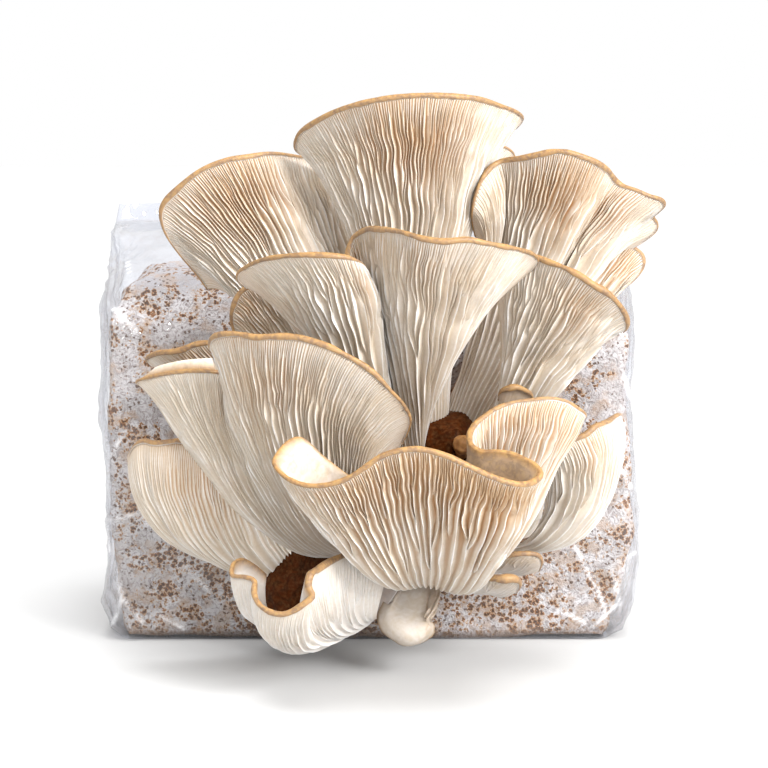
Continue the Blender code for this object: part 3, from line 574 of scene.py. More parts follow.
class Sheet:
    """The smooth sheet of one mushroom, asked for points, facing directions and sizes at any s and v."""

    def __init__(self, cap):
        self.cap = cap
        self.root = stem_root(cap)
        self.bend, self.hub = np.array(cap["bend"], float), np.array(cap["hub"], float)
        self.low_axes = section_axes(unit(self.bend - self.root))
        self.mid_axes = section_axes(unit(self.hub - self.bend))
        self.fine = np.linspace(0, 1, 1601)
        self.rim = smooth_curve(cap["rim"], self.fine)
        self.rim_length = np.linalg.norm(np.diff(self.rim, axis=0), axis=1).sum()
        self.calm_rim = self.rim.copy()
        for _ in range(cap.get("calming", 0)):
            self.calm_rim[20:-20] = (self.calm_rim[:-40] + 2 * self.calm_rim[20:-20] + self.calm_rim[40:]) / 4
        self.s_grid, self.v_grid = np.linspace(0, 1, 161), np.linspace(0, 1, 49)
        grid = self.point(*np.meshgrid(self.s_grid, self.v_grid))
        across, along = np.gradient(grid, self.s_grid, axis=1), np.gradient(grid, self.v_grid, axis=0)
        facing = unit(np.cross(across, along))
        for _ in range(4):
            facing[:, 1:-1] = unit(facing[:, :-2] + 2 * facing[:, 1:-1] + facing[:, 2:])
            facing[1:-1] = unit(facing[:-2] + 2 * facing[1:-1] + facing[2:])
        self.facing_grid = facing
        self.across_grid = np.linalg.norm(across, axis=-1)
        self.along_grid = np.linalg.norm(along, axis=-1)
        turning = np.gradient(facing, self.s_grid, axis=1)
        self.closing_grid = -(turning * across).sum(-1) / np.maximum((across ** 2).sum(-1), 1)
        self.length = self.along_grid.mean()
        self.rim_step = self.along_grid[-1].mean()

    def on_rim(self, rim, s):
        return np.stack([np.interp(s, self.fine, rim[:, axis]) for axis in range(3)], -1)

    def point(self, s, v):
        rim, calm = self.on_rim(self.rim, s), self.on_rim(self.calm_rim, s)
        turn, v = math.pi * s[..., None], v[..., None]
        low = half_ring(self.root, self.low_axes, self.cap["stem"], turn)
        mid = half_ring(self.bend, self.mid_axes, self.cap["neck"], turn)
        high = self.hub + self.cap["flare"] * (calm - self.hub)
        for control, middle, width, vector in self.cap.get("swells", ()):
            (low, mid, high)[control][...] += smoothstep(1 - np.abs(s - middle) / width)[..., None] * vector
        rim = calm + (rim - calm) * v ** 6
        return (1 - v) ** 3 * low + 3 * v * (1 - v) ** 2 * mid + 3 * v * v * (1 - v) * high + v ** 3 * rim

    def look_up(self, grid, s, v):
        """A value of the coarse grid at any s and v."""
        x, y = np.clip(s, 0, 1) * (len(self.s_grid) - 1), np.clip(v, 0, 1) * (len(self.v_grid) - 1)
        i = np.minimum(x.astype(int), len(self.s_grid) - 2)
        j = np.minimum(y.astype(int), len(self.v_grid) - 2)
        a, b = x - i, y - j
        if grid.ndim == 3:
            a, b = a[..., None], b[..., None]
        below = (1 - a) * grid[j, i] + a * grid[j, i + 1]
        above = (1 - a) * grid[j + 1, i] + a * grid[j + 1, i + 1]
        return (1 - b) * below + b * above

    def facing(self, s, v):
        return unit(self.look_up(self.facing_grid, s, v))


probe = Sheet(CAPS["mushroom_front"])
print("front mushroom: rim of", round(probe.rim_length), "mm and ribs of about", round(probe.length), "mm")

# %% [markdown]
# ## The gills' plan
# Gills are thin blades, like pages. Full ones run down to the stem, and between them stand shorter and
# shorter ones that reach only part of the way in from the rim, so their spacing stays about even while
# the fan widens. Many short ones don't stop but lean over and join a neighbour, which makes the forks.
# The plan comes first as numbers: for each blade, where its crest runs and how tall it is, row by row.
# Blades are numbered across the fan, and a blade's rank says how far in it reaches: every eighth is a
# full one of rank 0, the ones half way between are of rank 1, and so on down to every odd one, rank 3.

# %% Crests and heights of the blades
# By rank: where a blade begins, from v to v, and what share of the blades join a neighbour
GILL_STARTS = ((0.02, 0.10), (0.40, 0.66), (0.62, 0.80), (0.78, 0.92))
GILL_JOINS = (0, 0.75, 0.6, 0.3)
JOINING = 0.11         # how much of v such a blade takes to leave its neighbour
# From stem to rim, as pairs of v and value: how tan the flesh is, which is partly painted shade
# towards the rim, and how tall a blade
TAN_AND_SHADE_UP = ((0, 0), (0.4, 0.02), (0.6, 0.17), (0.75, 0.65), (0.85, 1), (0.95, 1), (1, 0.8))
HEIGHT_UP = (
    (0, 0), (0.08, 0.1), (0.2, 0.3), (0.35, 0.52), (0.5, 0.74), (0.65, 0.95),
    (0.75, 1), (0.83, 0.85), (0.89, 0.58), (0.93, 0.36), (0.97, 0.14), (1, 0),
)
RANK_HEIGHTS = (1, 0.95, 0.85, 0.7)


def gill_plan(sheet, v, look, random):
    """Rows by blades: place s of each crest, share of full height, and 1 once it has begun; then ranks."""
    sets = max(2, round(sheet.rim_length / (8 * look["spacing"])))
    last = 8 * sets
    number = np.arange(last + 1)
    rank = np.where(number % 8 == 0, 0, np.where(number % 8 == 4, 1, np.where(number % 4 == 2, 2, 3)))
    rows, seed = v[:, None], look["seed"]
    waves = rows * sheet.length / look["wave"]
    start = np.array([random.uniform(*GILL_STARTS[r]) for r in rank])
    joins = random.random(len(number)) < np.array(GILL_JOINS)[rank]
    partner = np.where(random.random(len(number)) < 0.5, 0.04, 0.96)

    # Full blades sway together, and each shorter one keeps a wandering place between its neighbours
    freedom = look["sway"] * smoothstep(rows / 0.2) * (1 - 0.9 * smoothstep((rows - 0.78) / 0.16))
    sway = 2.0 * drift(number / 34, waves, 7.0, seed) + 0.8 * drift(number / 9, waves * 1.6, 9.0, seed)
    middle = (number + sway * freedom * (number % last > 0)) / last
    wander = drift(number * 0.6, waves, seed) + 0.6 * drift(number * 1.1, waves * 2.2, 3.0, seed)
    share = np.clip(0.5 + random.uniform(-0.1, 0.1, len(number)) + 0.17 * wander * freedom, 0.2, 0.8)
    meeting = smoothstep((start + JOINING - rows) / JOINING) * joins
    share = share * (1 - meeting) + partner * meeting
    for r, step in ((1, 4), (2, 2), (3, 1)):
        at = number[rank == r]
        left, right = middle[:, at - step], middle[:, at + step]
        middle[:, at] = left + share[:, at] * (right - left)

    life = smoothstep((rows - start) / 0.045)
    life[:, rank == 0] = np.maximum(life[:, rank == 0], 0.02)
    ranks = np.array(RANK_HEIGHTS)[rank]
    ranks = ranks + (1 - ranks) * smoothstep((rows - 0.9) / 0.06)
    uneven = 1 + 0.18 * drift(number * 0.9, rows * sheet.length / 7, 11.0, seed)
    height = np.interp(v, *zip(*HEIGHT_UP))[:, None] * ranks * life * uneven
    height *= smoothstep((rows - look["bare"]) / 0.15 + 1)
    height[:, [0, -1]] = 0
    return middle, height, life, rank


def room_beside(middle, life, way):
    """For each blade, how far off its next living neighbour is on one side: way is -1 or 1."""
    number = np.arange(middle.shape[1])
    room = np.ones_like(middle)
    for step in (8, 4, 2, 1):
        at = number[number % step == 0]
        at = at[(at + way * step >= 0) & (at + way * step < len(number))]
        weight = 1 if step == 8 else life[:, at + way * step]
        room[:, at] += weight * (np.abs(middle[:, at + way * step] - middle[:, at]) - room[:, at])
    return room


# %% [markdown]
# ## From the plan to a mesh
# The blades could be separate strips set on the sheet, but real gills grow out of the cap, and loose
# strips leave cracks. Here one grid of points carries the whole gill side. Its columns follow the crests,
# the flanks and the valleys of all blades, and every point is lifted to the tallest blade above it. A
# blade that hasn't begun yet has columns too: they simply lie on the flank of a neighbour.
# The lift is less where the sheet curls in on itself, so that the blades there keep clear of each other.

# %% The gill side
BLADE_REACH = 2.1      # half width of a blade's foot at most, in mm
FLANK = 0.36           # where the extra column on a blade's side stands, from its crest to the valley
FOLD_ROOM = 0.4        # how much of the room in a fold of the sheet a blade may take up
SLIMMEST = 1.5         # a blade's height over its foot's width at most


def gill_columns(sheet, v, look, random):
    """Place s, lift in mm and share of lift for each point of the gill side, as rows by columns."""
    middle, height, life, rank = gill_plan(sheet, v, look, random)
    rows = np.repeat(v[:, None], middle.shape[1], axis=1)
    across = np.maximum(sheet.look_up(sheet.across_grid, middle, rows), 5)
    foot = [np.minimum(0.5 * room_beside(middle, life, way) * across, BLADE_REACH) for way in (-1, 1)]
    closing = sheet.look_up(sheet.closing_grid, middle, rows)
    lift = np.minimum(look["depth"] * height, FOLD_ROOM / np.maximum(closing, 1e-3))
    lift = np.minimum(lift, SLIMMEST * (foot[0] + foot[1]))
    number = np.arange(middle.shape[1])
    along = rows * sheet.length
    lean = np.minimum(0.45 * lift, 0.5 * np.minimum(*foot))
    lean = lean * drift(number * 0.3, along / 9, 17.0, look["seed"])

    places, owners = [], []
    last = len(number) - 1
    for k in number:
        if rank[k] < 3 and k > 0:
            places.append(middle[:, k] - 0.5 * FLANK * (middle[:, k] - middle[:, k - 1]))
        places.append(middle[:, k])
        if rank[k] < 3 and k < last:
            places.append(middle[:, k] + 0.5 * FLANK * (middle[:, k + 1] - middle[:, k]))
        if k < last:
            places.append((middle[:, k] + middle[:, k + 1]) / 2)
        owners += [k] * (len(places) - len(owners))
    s, owners = np.stack(places, 1), np.array(owners)

    h, shift = np.zeros_like(s), np.zeros_like(s)
    for offset in range(-8, 9):
        k = np.clip(owners + offset, 0, last)
        away = (s - middle[:, k]) * across[:, k]
        reach = np.maximum(np.where(away < 0, foot[0][:, k], foot[1][:, k]), 0.05)
        profile = np.clip(1 - np.abs(away) / reach, 0, 1) ** 1.4
        taller = lift[:, k] * profile > h
        h = np.where(taller, lift[:, k] * profile, h)
        shift = np.where(taller, lean[:, k] * profile ** 1.5 / across[:, k], shift)
    full = np.maximum(look["depth"] * np.interp(v, *zip(*HEIGHT_UP))[:, None], 0.25)
    return np.clip(s + shift, 0, 1), h, np.clip(h / full, 0, 1)


# %% [markdown]
# ## A whole mushroom
# A rolled bead carries the surface round the rim, and from there the smooth upper side runs back to the
# root, on fewer columns. Both sides are zipped together along the bead, at the root and along the two
# edges, so that a mushroom is one closed skin.

# %% The three parts of the skin
BEAD_TURNS = np.radians([-62, -40, -15, 12, 40, 68, 95, 122, 150, 175])
BACK_ROWS = 20
BACK_SPACING = 1.7     # of the columns of the upper side at the rim, in mm
BILLOW_WIDTH = 19      # of one slow wave, in mm


def billow(look, points, v):
    """Slow waves of the whole sheet, in mm, none at the root and at the rim."""
    waves = look["billow"] * drift(*(points[..., axis] / BILLOW_WIDTH for axis in range(3)), look["seed"])
    return waves * smoothstep(v / 0.3) * (1 - smoothstep((v - 0.85) / 0.15))


def gill_side(sheet, v, look):
    """Places s, points and values of the gill side, as rows by columns."""
    s, lift, relief = gill_columns(sheet, v, look, np.random.default_rng(look["seed"] + 100))
    rows = np.repeat(v[:, None], s.shape[1], axis=1)
    base = sheet.point(s, rows)
    lift = lift * smoothstep(1.7 * np.sin(math.pi * s))
    points = base + sheet.facing(s, rows) * (lift + billow(look, base, rows))[..., None]
    values = {
        "relief": relief,
        # Tan here is partly painted shade: it grows towards the rim and in the middle of the fan.
        "tan_and_painted_shading": look["tan_and_painted_shading"] * np.interp(rows, *zip(*TAN_AND_SHADE_UP)) * (0.3 + 0.7 * np.exp(-((s - 0.5) / 0.22) ** 2)),
        "edge": np.exp(-(v[-1] - rows) * sheet.rim_step / 2.5) * 0.25,
        "upper": np.zeros(s.shape),
        "along": rows,
    }
    if look["smooth"]:
        values["upper"], values["along"] = np.ones(s.shape), np.full(s.shape, 0.9)
        values["edge"] = np.maximum(values["edge"], look["gold"])
    return s, points, values


def rolled_rim(sheet, s, look):
    """The bead along the rim, as turns by places."""
    end = np.ones_like(s)
    rim, face = sheet.point(s, end), sheet.facing(s, end)
    out = unit(rim - sheet.point(s, end * (1 - 3 / sheet.rim_step)))
    out = unit(out - face * (out * face).sum(-1, keepdims=True))
    taper = 0.3 + 0.7 * np.sin(math.pi * s) ** 0.7
    place, seed = s * sheet.rim_length, look["seed"]
    uneven = 1 + 0.22 * drift(place / 7, 2.0, seed) + 0.1 * drift(place / 2.5, 5.0, seed)
    radius = look["bead"] * np.maximum(taper, 0.45) * uneven
    centre = rim - out * radius[:, None] - face * (0.55 * radius)[:, None]
    turns = BEAD_TURNS[:, None, None]
    return centre + radius[:, None] * (np.cos(turns) * face + np.sin(turns) * out)


def upper_side(sheet, s, v, cap, look):
    """The smooth upper side, from the bead back to the root, where it is round like a stem."""
    under, face = sheet.point(s, v), sheet.facing(s, v)
    side = np.sin(math.pi * s)[..., None]
    width = (cap["stem"] * (1 - v) + cap["neck"] * v)[..., None]
    fullness = 1 + max(0.1, unit(sheet.bend - sheet.root) @ unit(sheet.hub - sheet.bend))
    out = unit(sheet.low_axes[1] * (1 - v[..., None]) + sheet.mid_axes[1] * v[..., None])
    stem_back = -(fullness * STEM_FLATNESS * width * side + 0.8) * out
    thick = cap["flesh"] * (1 - v) + 1.55 * look["bead"] * v
    cap_back = -face * thick[..., None] * (0.3 + 0.7 * side ** 0.7)
    blend = smoothstep((v[..., None] - 0.15) / 0.4)
    back = under + stem_back * (1 - blend) + cap_back * blend + face * billow(look, under, v)[..., None]
    middle, half_width, rise = look["dome"]
    near_middle = smoothstep(2 - 2 * np.abs(s - middle) / half_width)
    from_rim = (1 - v) * sheet.rim_step
    back[..., 2] += rise * near_middle * np.sin(math.pi * np.clip(from_rim / 40, 0, 1))
    return back


# %% The whole skin
def flat(*parts):
    return np.concatenate([part.ravel() for part in parts])


def mushroom_mesh(name, cap, look):
    """One mushroom as a closed mesh: gill side, rolled rim and smooth upper side."""
    sheet = Sheet(cap)
    v_end = 1 - 0.9 * look["bead"] / sheet.rim_step
    v = v_end * np.linspace(0, 1, look["rows"]) ** 0.7
    s, front, gill = gill_side(sheet, v, look)
    n_rows, n_columns = s.shape

    coarse = np.linspace(0, 1, max(24, int(sheet.rim_length / BACK_SPACING)))
    v_back = v_end * np.linspace(1, 0, BACK_ROWS + 1)[1:]
    s_back, rows_back = np.meshgrid(coarse, v_back)
    shell = np.concatenate([rolled_rim(sheet, coarse, look), upper_side(sheet, s_back, rows_back, cap, look)])
    turned = np.repeat(np.degrees(BEAD_TURNS)[:, None], len(coarse), axis=1)
    on_bead, on_back = np.ones(turned.shape), np.ones(s_back.shape)
    gold = look["gold"] * smoothstep((s_back - 0.5) / 0.1)
    back_edge = np.maximum(np.exp(-(1 - rows_back) * sheet.rim_step / look["fade"]), gold)
    values = {
        "relief": flat(gill["relief"], on_bead, on_back),
        # Pale paints light where a cap stands in shade, and where it is negative paints shade as a darker
        # tan.
        "tan_and_painted_shading": flat(gill["tan_and_painted_shading"], 0 * on_bead, 0 * on_back) - look["pale"],
        "edge": flat(gill["edge"], smoothstep((turned + 70) / 60), back_edge),
        "upper": flat(gill["upper"], smoothstep((turned - 20) / 80), on_back),
        "along": flat(gill["along"], on_bead, rows_back),
    }
    if look["smooth"]:
        values["along"] = np.maximum(values["along"], 0.85)

    # Faces: the two grids, the seam under the bead, the root and the two side edges
    start = n_rows * n_columns
    shell_rows, shell_columns = shell.shape[:2]
    gill_at = np.arange(start).reshape(n_rows, n_columns)
    shell_at = start + np.arange(shell_rows * shell_columns).reshape(shell_rows, shell_columns)
    shell_v = np.concatenate([np.full(len(BEAD_TURNS), v_end), v_back])
    faces = grid_faces(n_rows, n_columns) + grid_faces(shell_rows, shell_columns, start)
    faces += zipped(gill_at[-1], s[-1], shell_at[0], coarse)
    faces += zipped(shell_at[-1], coarse, gill_at[0], s[0])
    faces += zipped(gill_at[:, 0], v, shell_at[::-1, 0], shell_v[::-1])
    faces += zipped(shell_at[::-1, -1], shell_v[::-1], gill_at[:, -1], v)
    points = np.concatenate([front.reshape(-1, 3), shell.reshape(-1, 3)])
    return mesh_piece(name, points, faces, values)

# %% [markdown]
# ## Growing the mushrooms
# Large caps get gills, and the four small ones are smooth and partly golden. Each mushroom has a seed of
# its own, so that no two share a plan, and the same seed gives the same mushroom on every run.
# Lengths are in millimetres. Spacing and depth are the gills', wave is the length of their wanderings and
# sway how far they go. Bare is how far up from the stem there are no gills. Rows is how many rows of
# points the gill side has, bead is the rolled rim's radius, and billow is how high the slow waves are.
# Fade is how far the rim's gold reaches back on the upper side. Gold is how golden that side is beyond
# its middle, and on a smooth cap the gill side too. Tan is how tan the gill side grows towards the rim,
# partly as painted shade. Pale is painted light: how much paler the skin is painted all over, and where
# it is negative, how much darker as painted shade. A dome raises a part of the upper side: its middle s,
# its half width and its height.

# %% The mushrooms
COMMON_LOOK = dict(
    spacing=1.04, depth=3.5, wave=10, sway=0.75, bare=0.0, rows=48, bead=1.4, billow=1.0,
    fade=2.6, gold=0.0, tan_and_painted_shading=1.0, pale=0.0, smooth=False, dome=(0.5, 0.1, 0),
)
LOOKS = {
    "mushroom_crown_back": dict(depth=2.5, rows=30),
    "mushroom_upper_right_back": dict(depth=2.5, rows=30),
    "mushroom_centre_left_back": dict(depth=2.5, rows=36),
    "mushroom_left_back": dict(depth=2.0, rows=36),
    "mushroom_centre": dict(tan_and_painted_shading=0.8),
    "mushroom_right": dict(tan_and_painted_shading=0.6),
    "mushroom_left": dict(tan_and_painted_shading=0.7, dome=(0.15, 0.15, 17)),
    "mushroom_lower_left": dict(spacing=0.9, depth=1.1, sway=0.4, tan_and_painted_shading=0.5, pale=-0.15, bare=0.45),
    "mushroom_lower_right": dict(depth=2.4, pale=0.3),
    "mushroom_front": dict(spacing=0.98, depth=2.8, fade=1.7, gold=0.75, sway=0.6, tan_and_painted_shading=0.9, pale=-0.4),
    "mushroom_bottom": dict(depth=1.4, sway=0.3, billow=0.5, tan_and_painted_shading=0.3, pale=0.6),
    "mushroom_small_bottom": dict(smooth=True, gold=0.35, pale=0.2, depth=0.1, bead=1.5, rows=30, billow=1.6),
    "mushroom_small_curl": dict(smooth=True, gold=0.5, depth=0.1, rows=26, billow=0.6),
    "mushroom_small_right_upper": dict(smooth=True, gold=0.35, pale=0.8, depth=0.5, rows=26, billow=0.4),
    "mushroom_small_right_lower": dict(
        smooth=True, gold=0.25, pale=0.8, depth=0.4, bead=1.9, rows=26, billow=0.4,
    ),
}

# %% [markdown]
# Some caps swell more than their solids do. A swell pulls one of the ribs' first three control points,
# counted from 0 at the stem, by a vector in millimetres: fully at a middle s, less on either side of it,
# and not at all beyond a width from it.

# %% Swells
CAPS["mushroom_left"]["calming"] = 130      # times that its rim is smoothed
SWELLS = {
    "mushroom_upper_left": [
        (1, 0.0, 0.4, (-10, 0, -6)), (1, 1.0, 0.5, (12, 0, 0)), (2, 1.0, 0.5, (12, 0, 0)),
    ],
    "mushroom_centre": [(0, 1.0, 0.5, (-12, 0, 0)), (1, 1.0, 0.45, (-24, 0, 0))],
    "mushroom_right": [(0, 0.0, 0.6, (14, 0, 0)), (1, 0.0, 0.5, (13, 0, 0))],
    "mushroom_lower_left": [
        (1, 0.5, 1.6, (3, 0, -28)), (2, 0.5, 1.6, (0, 0, -9)),
        (1, 1.0, 0.7, (20, 0, 18)), (2, 1.0, 0.7, (30, 0, 12)),
    ],
    "mushroom_bottom": [(1, 0.5, 2.0, (0, 0, 8)), (1, 1.0, 0.4, (-4, 0, 8)), (2, 1.0, 0.55, (23, 0, 7))],
    "mushroom_small_bottom": [(1, 0.5, 2.0, (2, -20, 3)), (2, 0.5, 2.0, (0, -16, 0))],
}
for name, swells in SWELLS.items():
    CAPS[name]["swells"] = swells

for seed, (name, cap) in enumerate(CAPS.items()):
    look = {**COMMON_LOOK, **LOOKS.get(name, {}), "seed": seed + 1}
    piece = mushroom_mesh("grown_" + name, cap, look)
    piece.data.materials.append(flesh)
    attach(piece, "root")
    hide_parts(name)
    print(name, "points:", len(piece.data.vertices), "rim in mm:", round(Sheet(cap).rim_length))

# %% [markdown]
# ## The fused base and the pins
# All stems come out of one lump of tissue that fills the slit. It is nearly hidden, so it is the solid
# with finer faces, pushed in and out a little, and drawn out into two lobes that the solid lacks. The
# lobes fill two hollows where there is deep shade, and the front of the base is painted near-black brown
# without sheen: painted shade over tissue that is partly brown. The two pins are buttons that stopped
# growing, painted brown, partly as the shade of the gap they stand in.

# %% Finer copies of solids
def finer_copy(name, node, size_mm, push_mm, grain_mm, reshape=None):
    """A copy of a solid, reshaped, with even faces of this size, pushed in and out by smooth noise."""
    piece = frame["nodes"][node].copy()
    piece.data = frame["nodes"][node].data.copy()
    piece.name = name
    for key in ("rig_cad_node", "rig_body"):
        if key in piece:
            del piece[key]
    bpy.context.scene.collection.objects.link(piece)
    piece.parent = None
    if reshape:
        piece.data.vertices.foreach_set("co", (reshape(points_of(piece.data)) * MM).ravel())
        piece.data.update()
    evener = piece.modifiers.new("even", "REMESH")
    evener.mode, evener.voxel_size = "VOXEL", size_mm * MM
    piece.data = bpy.data.meshes.new_from_object(piece.evaluated_get(bpy.context.evaluated_depsgraph_get()))
    piece.modifiers.clear()
    mesh = piece.data
    mesh.name = name
    points = points_of(mesh)
    facing = np.empty(len(mesh.vertices) * 3)
    mesh.vertices.foreach_get("normal", facing)
    push = sum(drift(*(points / (grain_mm / scale)).T, scale) / scale for scale in (1, 2, 4))
    points = points + facing.reshape(-1, 3) * (push_mm * (push - 0.3))[:, None]
    mesh.vertices.foreach_set("co", (points * MM).ravel())
    mesh.materials.clear()
    mesh.polygons.foreach_set("use_smooth", [True] * len(mesh.polygons))
    mesh.update()
    return piece


def add_painted_shade_lobes(points):
    """Draws the base out into two lobes, painted near-black brown, that fill two hollows of deep shade."""
    low = smoothstep((24 - points[:, 0]) / 40) * smoothstep((90 - points[:, 2]) / 40)
    high = smoothstep((points[:, 2] - 72) / 25) * np.exp(-((points[:, 0] - 36) / 18) ** 2)
    return points + low[:, None] * (-28, -20, -28) + high[:, None] * (0, -20, 4)


def round_head(points):
    """Gives a pin a round end where it points at the viewer."""
    along = points @ unit(np.array([0.0, -0.86, 0.5]))
    beyond = np.clip((along - along.max() + 4.2) / 4.4, 0, 1)
    middle = points[beyond > 0].mean(axis=0)
    head = middle + (points - middle) * 1.3 * np.sqrt(1 - beyond ** 2)[:, None] ** 0.7
    return np.where(beyond[:, None] > 0, head, points)


SMOOTH_TAN = dict(relief=0.0, tan_and_painted_shading=1.0, edge=0.0, upper=1.0)

base = finer_copy("grown_base", "stem_cluster", 1.5, 1.2, 9, add_painted_shade_lobes)
# Painted shade: the base's front, in the hollows, takes the near-black brown, and its back stays cream.
fronts = points_of(base.data)[:, 1]
set_values(base.data, {**SMOOTH_TAN, "along": 0.3 + 0.6 * smoothstep((fronts + 90) / 24)})
base.data.materials.append(base_flesh)
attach(base, "root")
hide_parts("stem_cluster")

for name in ("pin_left", "pin_right"):
    pin = finer_copy("grown_" + name, name, 0.5, 0.2, 4, round_head)
    # The pins are painted brown, partly their own colour and partly painted shade of the gap they stand in.
    set_values(pin.data, {**SMOOTH_TAN, "along": 0.3})
    pin.data.materials.append(flesh)
    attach(pin, "root")
    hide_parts(name)
print("base points:", len(base.data.vertices))

# %% [markdown]
# ## The block
# The block is sawdust that mycelium has knitted into one brick. It fills the bag almost to the film, less
# at its foot and under the seam. Its surface is a lumpy white felt with brown crumbs showing through,
# more of them low down, in clusters. The lumps are real. The crumbs, and the darker specks
# between them, are cells in the material, let through where a slower noise says that the felt is thin.

# %% The block's shape
# The bag's outline at each height: height, left, right, front, back, corner radius
BAG_LEVELS = np.array([
    (0, -114, 108, -58, 58, 8),
    (4, -117, 114, -59.5, 59.5, 8),
    (15, -121.5, 118, -60, 60, 8),
    (34, -119, 121.5, -60.5, 60, 8),
    (72, -119, 119, -60.5, 60, 8),
    (112, -120.5, 115.5, -60.5, 60, 8),
    (134, -120, 118, -60, 59.5, 8),
    (150, -121, 117, -57, 57, 10),
    (160, -118.5, 116, -50, 50, 14),
    (170, -116.5, 117, -37, 39, 22),
    (178, -119, 116.5, -23, 25, 18),
    (184, -118, 116, -3, 3, 2.5),
    (192, -117, 116, -1.3, 1.3, 1.2),
])
# How far the block's felt stays behind the film at each height, and in front and behind at least
FILM_GAP = np.array([
    (0, 3), (14, 2.5), (34, 2), (115, 2), (138, 2.8), (146, 3.8), (153, 6), (159, 9), (163, 12),
])
DEPTH_GAP = 2.8


def bag_at(height):
    """The bag's left, right, front, back and corner radius at a height."""
    return [np.interp(height, BAG_LEVELS[:, 0], BAG_LEVELS[:, k]) for k in range(1, 6)]


def fill_the_bag(points):
    """The block's points, drawn out until they nearly meet the film."""
    half_width, half_depth = np.abs(points[:, 0]).max(), np.abs(points[:, 1]).max()
    half_height = points[:, 2].max() / 2
    half_sizes = (half_width, half_depth, half_height)
    shares = points / half_sizes - (0, 0, 1)
    rounded = (np.abs(shares) + 1e-6) ** 5
    squared = (np.abs(shares) + 1e-6) ** 26
    shares *= (rounded.sum(1) ** (1 / 5) / squared.sum(1) ** (1 / 26))[:, None]
    points = np.clip(shares, -1, 1) * half_sizes + (0, 0, half_height)
    left, right, front, back, _ = bag_at(points[:, 2])
    gap = np.interp(points[:, 2], *FILM_GAP.T)
    points[:, 0] = (left + right) / 2 + points[:, 0] / half_width * ((right - left) / 2 - gap)
    depth_gap = np.maximum(gap, DEPTH_GAP)
    points[:, 1] = (front + back) / 2 + points[:, 1] / half_depth * ((back - front) / 2 - depth_gap)
    return points


# %% Felt of mycelium over sawdust
mycelium = Finish("mycelium")
cloudy, felt = mycelium.noise(16, 4), mycelium.noise(1.0, 6)
threads = mycelium.noise(3.0, 6, distortion=2.5)
pale = mycelium.mix(mycelium.between(cloudy, 0.35, 0.65), tint("CAC6C5"), tint("B2ACAA"))
# Darker grey where the threads noise is high: partly the felt's own grey, partly painted shade of the gaps
# between its lumps.
pale = mycelium.mix(mycelium.between(threads, 0.45, 0.62, 0.0, 0.8), pale, tint("8D837F"))
# Painted shade: the block's top, which faces the sun overhead, is painted greyer.
pale = mycelium.mix(mycelium.value("top_painted_shade"), pale, tint("A8A4A4"))
low = mycelium.value("low")
stains = mycelium.plus(mycelium.noise(8, 4), mycelium.times(low, 0.06))
pale = mycelium.mix(mycelium.between(stains, 0.50, 0.66, 0.0, 0.45), pale, tint("A8855F"))
thin = mycelium.plus(mycelium.noise(13, 4), mycelium.times(low, 0.10))
thin = mycelium.between(thin, 0.38, 0.62, -0.18, 0.38)
crumbs = mycelium.plus(mycelium.cells(2.3, 2.6), mycelium.times(mycelium.noise(1.0, 4), 0.65))
crumbs = mycelium.math("SUBTRACT", crumbs, thin)
colour = mycelium.mix(mycelium.between(crumbs, 0.42, 0.60, 0.8, 0.0), pale, tint("AD8A5E"))
colour = mycelium.mix(mycelium.between(crumbs, 0.38, 0.44, 1.0, 0.0), colour, tint("83501F"))
colour = mycelium.mix(mycelium.between(crumbs, 0.22, 0.37, 0.9, 0.0), colour, tint("3A210E"))
specks = mycelium.between(mycelium.cells(2.2, 2.0), 0.22, 0.36, 1.0, 0.0)
specks = mycelium.times(specks, mycelium.between(mycelium.noise(7, 3), 0.44, 0.56))
colour = mycelium.mix(specks, colour, tint("543A28"))
foot = mycelium.plus(low, mycelium.times(threads, 0.08))
colour = mycelium.mix(mycelium.between(foot, 0.95, 1.03, 0.0, 0.75), colour, tint("70543B"))
mycelium.plug(colour, mycelium.shader.inputs["Base Color"])
mycelium.shader.inputs["Roughness"].default_value = 0.9
mycelium.bump(mycelium.mix(0.4, threads, felt), 0.9, 2.0)

block = finer_copy("sawdust_block", "substrate_block", 1.75, 1.3, 13, fill_the_bag)
heights = points_of(block.data)[:, 2]
set_values(block.data, {"low": 1 - np.clip(heights / 70, 0, 1), "top_painted_shade": smoothstep((heights - 150) / 10)})
block.data.materials.append(mycelium.material)
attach(block, "root")
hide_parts("substrate_block")
print("block points:", len(block.data.vertices))

# %% [markdown]
# ## The bag
# The bag is a tube of clear film, sealed along its top. It lies on the block in front and behind, and is
# loose at the corners and above the shoulders, where it crumples. A cloth simulation would make such
# folds too, but it takes minutes and its folds fall elsewhere each time something is changed. Here the
# film is a sheet swept round the bag's outline, with three kinds of shape added to it: dents with sharp
# edges between them, upright pleats towards the sides, and creases. Those in front are placed where
# the photograph shows them, and those behind and at the sides are scattered.

# %% The film's sheet
SLIT_RADII = FUSED_RADII * 1.02 + 0.8
AROUND, UP = 540, 155      # points round the sheet and rows of it
BAG_TOP = 192


def bag_outline(height, steps):
    """Points round the bag at one height, anticlockwise from above, starting at the middle of the front."""
    left, right, front, back, radius = bag_at(height)
    radius = min(radius, (right - left) / 2.2, (back - front) / 2.2)
    turn = np.radians(np.linspace(0, 90, 13))
    corners = [
        (right - radius, front + radius, 270), (right - radius, back - radius, 0),
        (left + radius, back - radius, 90), (left + radius, front + radius, 180),
    ]
    points = [((left + right) / 2, front)]
    for x, y, start in corners:
        angles = turn + math.radians(start)
        points += [(x + radius * math.cos(angle), y + radius * math.sin(angle)) for angle in angles]
    points = np.array(points + points[:1])
    length = np.concatenate([[0], np.cumsum(np.linalg.norm(np.diff(points, axis=0), axis=1))])
    places = np.linspace(0, 1, steps, endpoint=False) * length[-1]
    return np.stack([np.interp(places, length, points[:, 0]), np.interp(places, length, points[:, 1])], -1)


